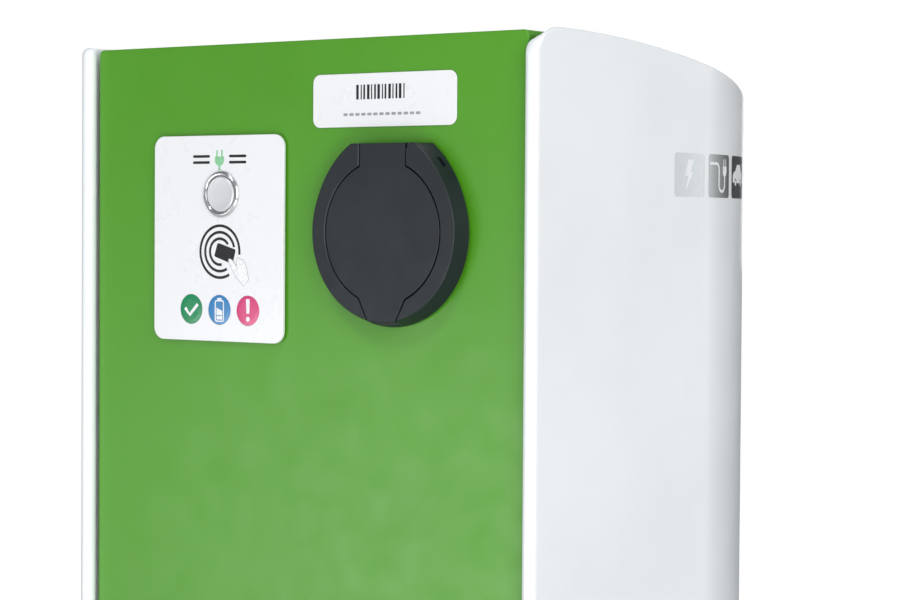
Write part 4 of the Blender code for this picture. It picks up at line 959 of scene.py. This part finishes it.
def make_reader_print():
    """The tap-your-card drawing, and a plain plug symbol between two bars at the top."""
    face = FlatPlace(SOCKET_X - 120 * MM, SOCKET_Z - 11.4 * MM, READER_LOW.y - 0.03 * MM)
    waves = []
    for radius, start, end in ((14.4, -6, 299), (10.8, 14, 299), (7.2, 35, 282)):
        waves += stroke(arc(0, 0, radius * MM, start, end, 64), 1.55 * MM)
    door_print("tap_waves", waves, face, INK)
    corners = [(-1.6, 5.0), (11.8, 1.2), (9.4, -6.8), (-4.2, -2.6)]
    card = []
    for i, corner in enumerate(corners):
        card += rounded_corner(corners[i - 1], corner, corners[(i + 1) % 4], 1.2)
    door_print("tap_card", [moved(card, 0, 0, MM)], face, INK, 0.04 * MM)
    hand = [(13.1, -3.1), (17.4, -4.5), (19.6, -7.7), (21.3, -15.0), (17.6, -18.8), (11.6, -13.5),
            (6.2, -5.0), (7.0, -3.6), (9.4, -4.6), (12.3, -7.6), (12.0, -5.4)]
    front = FlatPlace(face.x, face.z, face.y - 0.015 * MM)
    door_print("tap_hand", [moved(hand, 0, 0, MM)], front, PALE_INK)
    lines = stroke(moved(hand, 0, 0, MM), 0.28 * MM, closed=True)
    lines += stroke([(9.4 * MM, -4.6 * MM), (13.4 * MM, -9.2 * MM)], 0.25 * MM)
    outline = FlatPlace(face.x, face.z, face.y - 0.03 * MM)
    door_print("tap_hand_outline", lines, outline, GREY_INK, 0.02 * MM)
    mark = FlatPlace(SOCKET_X - 120.5 * MM, SOCKET_Z + 40.3 * MM, READER_LOW.y - 0.03 * MM)
    bars = [rounded_rectangle(side * 13.4 * MM, level * MM, 12.6 * MM, 1.5 * MM, 0.7 * MM, 4)
            for side in (-1, 1) for level in (-2.2, 1.2)]
    door_print("symbol_bars", bars, mark, INK)
    head = [(-3.4, 1.0), (3.4, 1.0), (3.4, -0.8)] + arc(0, -0.8, 3.4, -10, -170, 14) + [(-3.4, -0.8)]
    pins = [[(x - 0.6, 0.9), (x + 0.6, 0.9), (x + 0.6, 4.6), (x - 0.6, 4.6)] for x in (-1.8, 1.8)]
    cable = [(-0.7, -6.6), (0.7, -6.6), (0.7, -4.1), (-0.7, -4.1)]
    plug = [moved(shape, 0, 0, MM) for shape in [head] + pins + [cable]]
    door_print("symbol_plug", plug, mark, GREEN_INK)


def make_button():
    rim, face = BEZEL_HIGH.x - BUTTON_CENTRE[0], BEZEL_LOW.y
    seat, end, barrel, bore = READER_LOW.y - 0.3 * MM, BEZEL_HIGH.y, 10.9 * MM, 10.2 * MM
    floor, stem = PANEL_Y + MM, 4.3 * MM
    profile = [(bore, face + 0.5 * MM), (bore + 0.5 * MM, face + 0.1 * MM), (bore + 1.3 * MM, face),
               (rim - 0.6 * MM, face + 0.5 * MM), (rim, face + 1.2 * MM), (rim, seat), (barrel, seat),
               (barrel, end), (stem, end), (stem, floor), (bore, floor)]
    ring = turned(softened(profile, 0.22 * MM), "Y", BUTTON_CENTRE)
    piece("button_ring", ring, BUTTON_STEEL, "door", ["button_bezel"])
    cap, top, stem_end = (CAP_HIGH.x - CAP_LOW.x) / 2, CAP_LOW.y, CAP_HIGH.y
    skirt, stem = floor - 1.4 * MM, 4 * MM
    dish = [(0, top + 0.25 * MM), (cap * 0.55, top + 0.2 * MM), (cap - 1.5 * MM, top + 0.08 * MM)]
    profile = dish + [(cap - 0.8 * MM, top), (cap, top + 0.7 * MM), (cap, skirt), (stem, skirt),
                      (stem, stem_end), (0, stem_end)]
    face = turned(softened(profile, 0.2 * MM), "Y", BUTTON_CENTRE)
    piece("button_face", face, CAP_STEEL, "button", ["button_cap"])


# ---------------------------------------------------------------- vehicle socket

SOCKET_CENTRE = (SOCKET_X, SOCKET_Z)
FLAT_Z, SHOULDER_X = 46.9 * MM, 20.8 * MM
FRONT_RADIUS, BACK_RADIUS = 47 * MM, 50.1 * MM
LID_RADIUS, LID_GAP = 37.7 * MM, 0.65 * MM
TAB_HALF, TONGUE_TOP, TONGUE_TIP = 14.9 * MM, 15.2 * MM, 8.8 * MM
PIN_BORE = 1.55 * MM
HOUSING_BORE, CUP_RADIUS = 33 * MM, 32.7 * MM
CAVITY_RADIUS, CAVITY_FLAT = 29.5 * MM, 24.5 * MM
CARRIER_RADIUS, CARRIER_FLAT = 24 * MM, 19.2 * MM


def housing_outline(radius, inset=0.0):
    """A circle that swells a little towards the two corners of its level top."""
    corner = math.degrees(math.atan2(FLAT_Z, SHOULDER_X))
    swell = math.hypot(FLAT_Z, SHOULDER_X) / FRONT_RADIUS - 1
    points = []
    for i in range(FINE + 1):
        angle = 180 - corner + (180 + 2 * corner) * i / FINE
        from_foot = abs((angle - 90) % 360 - 180)
        lift_off = max(0.0, (from_foot - 110) / (corner - 20))
        reach = radius * (1 + swell * lift_off ** 1.5) - inset
        x, z = on_circle(0, 0, reach, angle)
        points.append((SOCKET_X + x, SOCKET_Z + min(z, FLAT_Z - inset)))
    return points


def lid_outline(radius, gap=0.0, top=FLAT_Z, tip=FRONT_RADIUS, steps=56):
    """A disc with a hinge tab up to the flat top and a tapered finger tongue below."""
    radius, half, side = radius + gap, TAB_HALF + gap, TONGUE_TOP + gap
    upper = math.degrees(math.acos(half / radius))
    lower = math.degrees(math.acos(side / radius))
    start = radius * math.sin(math.radians(lower))
    taper = (TONGUE_TOP - TONGUE_TIP) / (FRONT_RADIUS - start)
    right = [(half, top)] + arc(0, 0, radius, upper, -lower, steps) + [(side - taper * (tip - start), -tip)]
    points = right + [(-x, z) for x, z in reversed(right)]
    return [(SOCKET_X + x, SOCKET_Z + z) for x, z in points]


def make_socket_housing():
    """The dark surround: drafted sides, a soft front rim, and the lid's recess with a fine chamfer."""
    rim, back = 0.7 * MM, HOUSING_HIGH.y
    layers = []
    for i in range(5):
        a = math.radians(90 * i / 4)
        y = HOUSING_FRONT + rim * (1 - math.cos(a))
        along = (y - HOUSING_FRONT) / (back - HOUSING_FRONT)
        grown = FRONT_RADIUS + (BACK_RADIUS - FRONT_RADIUS) * along
        layers.append((housing_outline(grown, rim * (1 - math.sin(a))), y))
    layers.append((housing_outline(BACK_RADIUS - 0.15 * MM), back - 0.15 * MM))
    layers.append((housing_outline(BACK_RADIUS - 0.3 * MM), back))
    reach, before = FRONT_RADIUS + 10 * MM, HOUSING_FRONT - 5 * MM
    flare, pocket_y = 0.4 * MM, PANEL_Y - 6 * MM
    heights = ((flare, before), (flare, HOUSING_FRONT), (0, HOUSING_FRONT + flare), (0, pocket_y))
    mouth = [(lid_outline(LID_RADIUS, LID_GAP + more, reach, reach), y) for more, y in heights]
    tab, axis = TAB_HALF + 0.3 * MM, (LID_AXIS.y, LID_AXIS.z)
    edge, pocket_back = SOCKET_X + TAB_HALF, PANEL_Y - 3 * MM
    slot = rounded_rectangle(0, 0, 7 * MM, 2.6 * MM, 1.2 * MM, 5)
    side_slot = prism(slot, "Z", 44 * MM, 54 * MM)
    turn = Matrix.Rotation(math.radians(43), 4, "Y")
    side_slot.transform(Matrix.Translation((SOCKET_X, PANEL_Y - 5.4 * MM, SOCKET_Z)) @ turn)
    pin_reach = TAB_HALF + 4.6 * MM
    top = axis[1] + 10 * MM
    tools = [loft(mouth, "Y"),
             rod(HOUSING_BORE, "Y", SOCKET_CENTRE, before, PANEL_Y + 5 * MM, FINE),
             block(SOCKET_X - tab, SOCKET_X + tab, before, pocket_back, SOCKET_Z + 30 * MM, SOCKET_Z + reach),
             rod(PIN_BORE, "X", axis, SOCKET_X - pin_reach, SOCKET_X + pin_reach, 24),
             block(edge, edge + 3.9 * MM, axis[0] - 2.9 * MM, pocket_back, axis[1] - 3 * MM, top),
             block(edge, edge + 2 * MM, before, axis[0], axis[1] + 0.7 * MM, top), side_slot]
    mesh = cut(loft(layers, "Y"), *tools)
    piece("socket_surround", mesh, "anthracite_plastic", "door", ["socket_housing"])


def make_lid():
    """The flap: softened front edge, tapered rim, hinge knuckle, a shallow recess behind, and its seal."""
    back, draft, rim = HOUSING_FRONT + 4.1 * MM, 1.4 * MM, 0.5 * MM
    layers = []
    for i in range(4):
        a = math.radians(90 * i / 3)
        inset = rim * (1 - math.sin(a))
        outline = lid_outline(LID_RADIUS, -inset, FLAT_Z - inset, FRONT_RADIUS - inset)
        layers.append((outline, HOUSING_FRONT + rim * (1 - math.cos(a))))
    layers.append((lid_outline(LID_RADIUS - draft), back))
    axis = (LID_AXIS.y, LID_AXIS.z)
    knuckle = rod(3.4 * MM, "X", axis, SOCKET_X - TAB_HALF, SOCKET_X + TAB_HALF, SMALL)
    reach = TAB_HALF + 5 * MM
    hole = rod(PIN_BORE, "X", axis, SOCKET_X - reach, SOCKET_X + reach, 24)
    recess = rod(30 * MM, "Y", SOCKET_CENTRE, back - 1.2 * MM, back + MM, MEDIUM)
    mesh = cut(loft(layers, "Y"), hole, recess, joined=[knuckle])
    piece("socket_flap", mesh, "anthracite_plastic", "lid", ["socket_lid"])
    low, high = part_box("lid_seal")
    profile = [(34 * MM, low.y), (36 * MM, low.y), (36 * MM, high.y), (34 * MM, high.y)]
    seal = turned(softened(profile, 0.35 * MM), "Y", SOCKET_CENTRE, FINE)
    piece("flap_seal", seal, "rubber", "lid", ["lid_seal"])


def make_socket_well():
    """The cup and contact carrier behind the flap, with a brass sleeve in each contact hole."""
    low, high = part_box("socket_insert")
    flange = (high.x - low.x) / 2
    seat = PANEL_Y + 2.3 * MM
    back = seat + 3 * MM
    profile = [(0, low.y), (CUP_RADIUS, low.y), (CUP_RADIUS, seat), (flange, seat), (flange, back),
               (CUP_RADIUS, back), (CUP_RADIUS, high.y), (0, high.y)]
    start = math.degrees(math.asin(CAVITY_FLAT / CAVITY_RADIUS))
    cavity = arc(*SOCKET_CENTRE, CAVITY_RADIUS, 180 - start, 360 + start, MEDIUM)
    pin_y = middle(*(corner.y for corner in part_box("locking_pin")))
    way = rod(2.8 * MM, "Z", (SOCKET_X, pin_y), SOCKET_Z + 10 * MM, SOCKET_Z + 60 * MM, 24)
    mouth = loft([(cavity, low.y - 5 * MM), (cavity, high.y - 4 * MM)], "Y")
    cup_mesh = cut(turned(softened(profile, 0.4 * MM), "Y", SOCKET_CENTRE, FINE), mouth, way)
    piece("socket_cup", cup_mesh, "socket_plastic", "door", ["socket_insert"])
    face, end = (corner.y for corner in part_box("contact_carrier"))

    def island(inset):
        flat = math.degrees(math.asin((CARRIER_FLAT - inset) / (CARRIER_RADIUS - inset)))
        return arc(*SOCKET_CENTRE, CARRIER_RADIUS - inset, 180 - flat, 360 + flat, MEDIUM)

    large = [(-16, 0), (0, 0), (16, 0), (-8, -14), (8, -14)]
    small = [(-8, 12.5), (8, 12.5)]
    contacts = [(x, z, 4.2) for x, z in large] + [(x, z, 2.8) for x, z in small]
    places = [((SOCKET_X + x * MM, SOCKET_Z + z * MM), radius * MM) for x, z, radius in contacts]
    holes = [rod(radius, "Y", place, face - MM, end - 6 * MM, SMALL) for place, radius in places]
    carrier = cut(soft_prism(island, "Y", face, end, 0.6 * MM), *holes)
    piece("contact_block", carrier, "socket_plastic", "door", ["contact_carrier"])
    for number, (place, radius) in enumerate(places, start=1):
        outer, inner, tip = radius - 0.4 * MM, radius - 1.1 * MM, face + 5 * MM
        profile = [(inner, tip), (outer, tip), (outer, end - 6.4 * MM), (inner, end - 6.4 * MM)]
        sleeve = turned(softened(profile, 0.25 * MM), "Y", place, SMALL)
        piece(f"contact_sleeve_{number}", sleeve, "brass", "door")


# ---------------------------------------------------------------- electrical gear

def screw_head(name, x, z, y, radius, body):
    """A cross-slotted screw head that faces -Y; y is the height of its face."""
    back = y + 1.6 * MM
    profile = [(0, y + 0.15 * MM), (radius * 0.6, y), (radius, y + 0.5 * MM), (radius, back), (0, back)]
    arms = [rounded_rectangle(x, z, *size, 0.2 * MM, 2)
            for size in ((radius * 1.3, radius * 0.3), (radius * 0.3, radius * 1.3))]
    slots = [prism(arm, "Y", y - MM, y + 0.9 * MM) for arm in arms]
    head = cut(turned(softened(profile, 0.15 * MM), "Y", (x, z), SMALL), *slots)
    piece(name, head, "steel", body)


SCREW_COLUMNS = {"circuit_breaker": 4, "residual_current_device": 4, "contactor": 3, "energy_meter": 4}


def make_device_details():
    """Terminal screws and a printed strip on each device on the rails."""
    for name, columns in SCREW_COLUMNS.items():
        low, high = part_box(name)
        shoulder = low.y + 18 * MM
        for column in range(columns):
            x = low.x + (high.x - low.x) * (column + 0.5) / columns
            for row, z in (("lower", low.z + 10 * MM), ("upper", high.z - 10 * MM)):
                screw_head(f"{name}_screw_{row}_{column + 1}", x, z, shoulder - 1.4 * MM, 3.2 * MM, "post")
        band = FlatPlace(*centre_of(low, high), low.y - 0.05 * MM)
        width = (high.x - low.x) * 0.84
        strip = rounded_rectangle(0, -18.6 * MM, width, 5 * MM, 0.8 * MM, 3)
        foil(f"{name}_strip", [strip], band, "white_plastic", "post")
        lines = [rounded_rectangle(-width / 2 + (4 + 7 * i) * MM, -18.6 * MM, 5 * MM, 0.9 * MM, 0.3 * MM, 2)
                 for i in range(4)]
        front = FlatPlace(band.x, band.z, band.y - 0.03 * MM)
        foil(f"{name}_marks", lines, front, GREY_INK, "post", 0.02 * MM)


def make_meter_and_terminals():
    low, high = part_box("energy_meter")
    x, z = middle(low.x, high.x), middle(low.z, high.z) + 5 * MM
    shape = shrinking_rectangle(x, z, 45 * MM, 15 * MM, 1.6 * MM)
    glass = soft_prism(shape, "Y", low.y + 0.5 * MM, low.y + 1.1 * MM, 0.2 * MM)
    piece("meter_display", glass, SCREEN, "post")
    low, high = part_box("terminal_block")
    for number in range(7):
        x = low.x + (high.x - low.x) * (number + 0.5) / 7
        screw_head(f"terminal_screw_{number + 1}", x, middle(low.z, high.z), low.y + 2 * MM, 3.1 * MM, "post")


def make_controller_front():
    """A printed sheet and three lamps on the controller."""
    low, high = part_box("controller")
    x, z = middle(low.x, high.x) - 20 * MM, middle(low.z, high.z)
    sheet = soft_prism(shrinking_rectangle(x, z, 109 * MM, 89 * MM, 3.6 * MM), "Y", low.y + 0.4 * MM,
                       low.y + 0.75 * MM, 0.1 * MM)
    piece("controller_sheet", sheet, "white_plastic", "post")
    face = FlatPlace(x, z, low.y + 0.38 * MM)
    rows = [rounded_rectangle(-24 * MM, (28 - 9 * i) * MM, 44 * MM, 2 * MM, 0.8 * MM, 3) for i in range(7)]
    foil("controller_lines", rows, face, GREY_INK, "post", 0.02 * MM)
    for number, finish in enumerate(LENSES.values()):
        place = (x + 40 * MM, z + (20 - 12 * number) * MM)
        seat = low.y + 0.6 * MM
        dome = [(0, low.y - 0.4 * MM), (1.4 * MM, low.y - 0.1 * MM), (2 * MM, seat), (0, seat)]
        lamp = turned(softened(dome, 0.2 * MM), "Y", place, SMALL)
        piece(f"controller_lamp_{number + 1}", lamp, finish, "post")


def make_shell_rivets():
    """Blind rivets through the sides of the sheet, into the uprights, low down and at mid height."""
    places = [(out, PANEL_Y + depth * MM, z * MM) for out in (-1, 1) for depth in (33, 44) for z in (60, 640)]
    for number, (out, y, z) in enumerate(places, start=1):
        x = out * HALF
        profile = [(0, x - out * 0.02 * MM), (3.6 * MM, x - out * 0.02 * MM), (4 * MM, x - out * 0.5 * MM),
                   (4 * MM, x - out * 1.4 * MM), (0, x - out * 1.4 * MM)]
        head = turned(softened(profile, 0.12 * MM), "X", (y, z), SMALL)
        piece(f"shell_rivet_{number}", head, "white_coat", "post")


def finish_cad_nodes():
    """Every CAD node that is still shown gets the finish of its own slot in the record."""
    for part in frame["record"]["subparts"]:
        node = frame["nodes"][part["node"]]
        node.data.materials.clear()
        node.data.materials.append(FINISHES[part["material_slot"]])


# ---------------------------------------------------------------- camera, light, floor

def make_camera():
    """A long lens a little above the socket's height, ahead of the post and to its right."""
    data = bpy.data.cameras.new("camera")
    data.lens, data.sensor_width = 100.16, 36.0
    made = bpy.data.objects.new("camera", data)
    yaw, pitch, roll = math.radians(36.42), math.radians(1.69), math.radians(0.37)
    spot = Vector((SOCKET_X + 0.8077, HOUSING_FRONT - 1.0337, SOCKET_Z + 0.0036))
    ahead = Vector((-math.sin(yaw) * math.cos(pitch), math.cos(yaw) * math.cos(pitch), -math.sin(pitch)))
    right = Vector((math.cos(yaw), math.sin(yaw), 0))
    up = right.cross(ahead)
    tilted_right = math.cos(roll) * right + math.sin(roll) * up
    tilted_up = math.cos(roll) * up - math.sin(roll) * right
    turn = Matrix((tilted_right, tilted_up, -ahead)).transposed()
    made.matrix_world = Matrix.Translation(spot) @ turn.to_4x4()
    bpy.context.scene.collection.objects.link(made)
    bpy.context.scene.camera = made


def make_light(name, place, target, size, power):
    data = bpy.data.lights.new(name, "AREA")
    data.shape, data.size, data.size_y = "RECTANGLE", size[0], size[1]
    data.energy = power
    made = bpy.data.objects.new(name, data)
    place, target = Vector(place), Vector(target)
    made.location = place
    made.visible_camera = False
    made.rotation_euler = (target - place).to_track_quat("-Z", "Y").to_euler()
    bpy.context.scene.collection.objects.link(made)


FILL_NEAR = (0.40, 0.41, 0.42)    # from ahead of the post, on its right
FILL_FAR = (0.13, 0.135, 0.14)    # from behind it, on its left
FILL_AXIS = (0.62, -0.78, 0.1)
FLOOR_REACH = 3.0


def make_world():
    """White behind the object, and a softer, slightly graded white as its fill light."""
    world = bpy.data.worlds.new("studio")
    bpy.context.scene.world = world
    world.use_nodes = True
    tree = world.node_tree
    nodes, links = tree.nodes, tree.links
    fill = nodes["Background"]
    backdrop = nodes.new("ShaderNodeBackground")
    backdrop.inputs["Color"].default_value = (1, 1, 1, 1)
    lean = nodes.new("ShaderNodeVectorMath")
    lean.operation = "DOT_PRODUCT"
    lean.inputs[1].default_value = FILL_AXIS
    links.new(nodes.new("ShaderNodeTexCoord").outputs["Generated"], lean.inputs[0])
    grade = nodes.new("ShaderNodeValToRGB")
    spread = nodes.new("ShaderNodeMapRange")
    spread.inputs["From Min"].default_value, spread.inputs["From Max"].default_value = -1.0, 1.0
    links.new(lean.outputs["Value"], spread.inputs["Value"])
    links.new(spread.outputs["Result"], grade.inputs["Fac"])
    grade.color_ramp.elements[0].color = (*FILL_FAR, 1)
    grade.color_ramp.elements[1].color = (*FILL_NEAR, 1)
    links.new(grade.outputs["Color"], fill.inputs["Color"])
    seen = nodes.new("ShaderNodeLightPath")
    mix = nodes.new("ShaderNodeMixShader")
    links.new(seen.outputs["Is Camera Ray"], mix.inputs["Fac"])
    links.new(fill.outputs[0], mix.inputs[1])
    links.new(backdrop.outputs[0], mix.inputs[2])
    links.new(mix.outputs[0], nodes["World Output"].inputs["Surface"])


def make_studio():
    make_world()
    heart = (0, 0, 1.15)
    make_light("right_softbox", (2.35, -1.55, 1.6), heart, (1.6, 2.2), 44)
    make_light("key_light", (0.1, -1.7, 3.1), heart, (0.3, 0.3), 14)
    make_light("low_left_softbox", (-1.25, -2.2, 0.6), (0, 0, 0.95), (1.1, 0.9), 11)
    make_light("low_right_fill", (0.75, -1.1, 0.45), (0.05, -0.1, 1.05), (0.5, 0.5), 5)
    make_light("rim_strip", (1.36, 2.31, 1.3), (0.16, 0, 1.15), (0.3, 2.0), 3.5)
    make_light("top_softbox", (0.2, 0.1, 3.2), heart, (1.6, 1.6), 10)
    make_light("back_softbox", (-1.4, 2.4, 1.9), heart, (1.6, 1.6), 16)
    floor_mesh = bmesh.new()
    bmesh.ops.create_grid(floor_mesh, x_segments=8, y_segments=8, size=FLOOR_REACH)
    data = bpy.data.meshes.new("studio_floor")
    floor_mesh.to_mesh(data)
    floor_mesh.free()
    floor = bpy.data.objects.new("studio_floor", data)
    data.materials.append(painted_floor())
    bpy.context.scene.collection.objects.link(floor)
    bpy.context.scene.view_settings.view_transform = "Standard"


make_camera()
make_studio()
make_shell()
make_roof()
make_side_pictograms()
make_shell_rivets()
make_door()
make_label()
make_lock()
make_reader()
make_lenses()
make_reader_print()
make_button()
make_socket_housing()
make_lid()
make_socket_well()
make_device_details()
make_meter_and_terminals()
make_controller_front()
finish_cad_nodes()
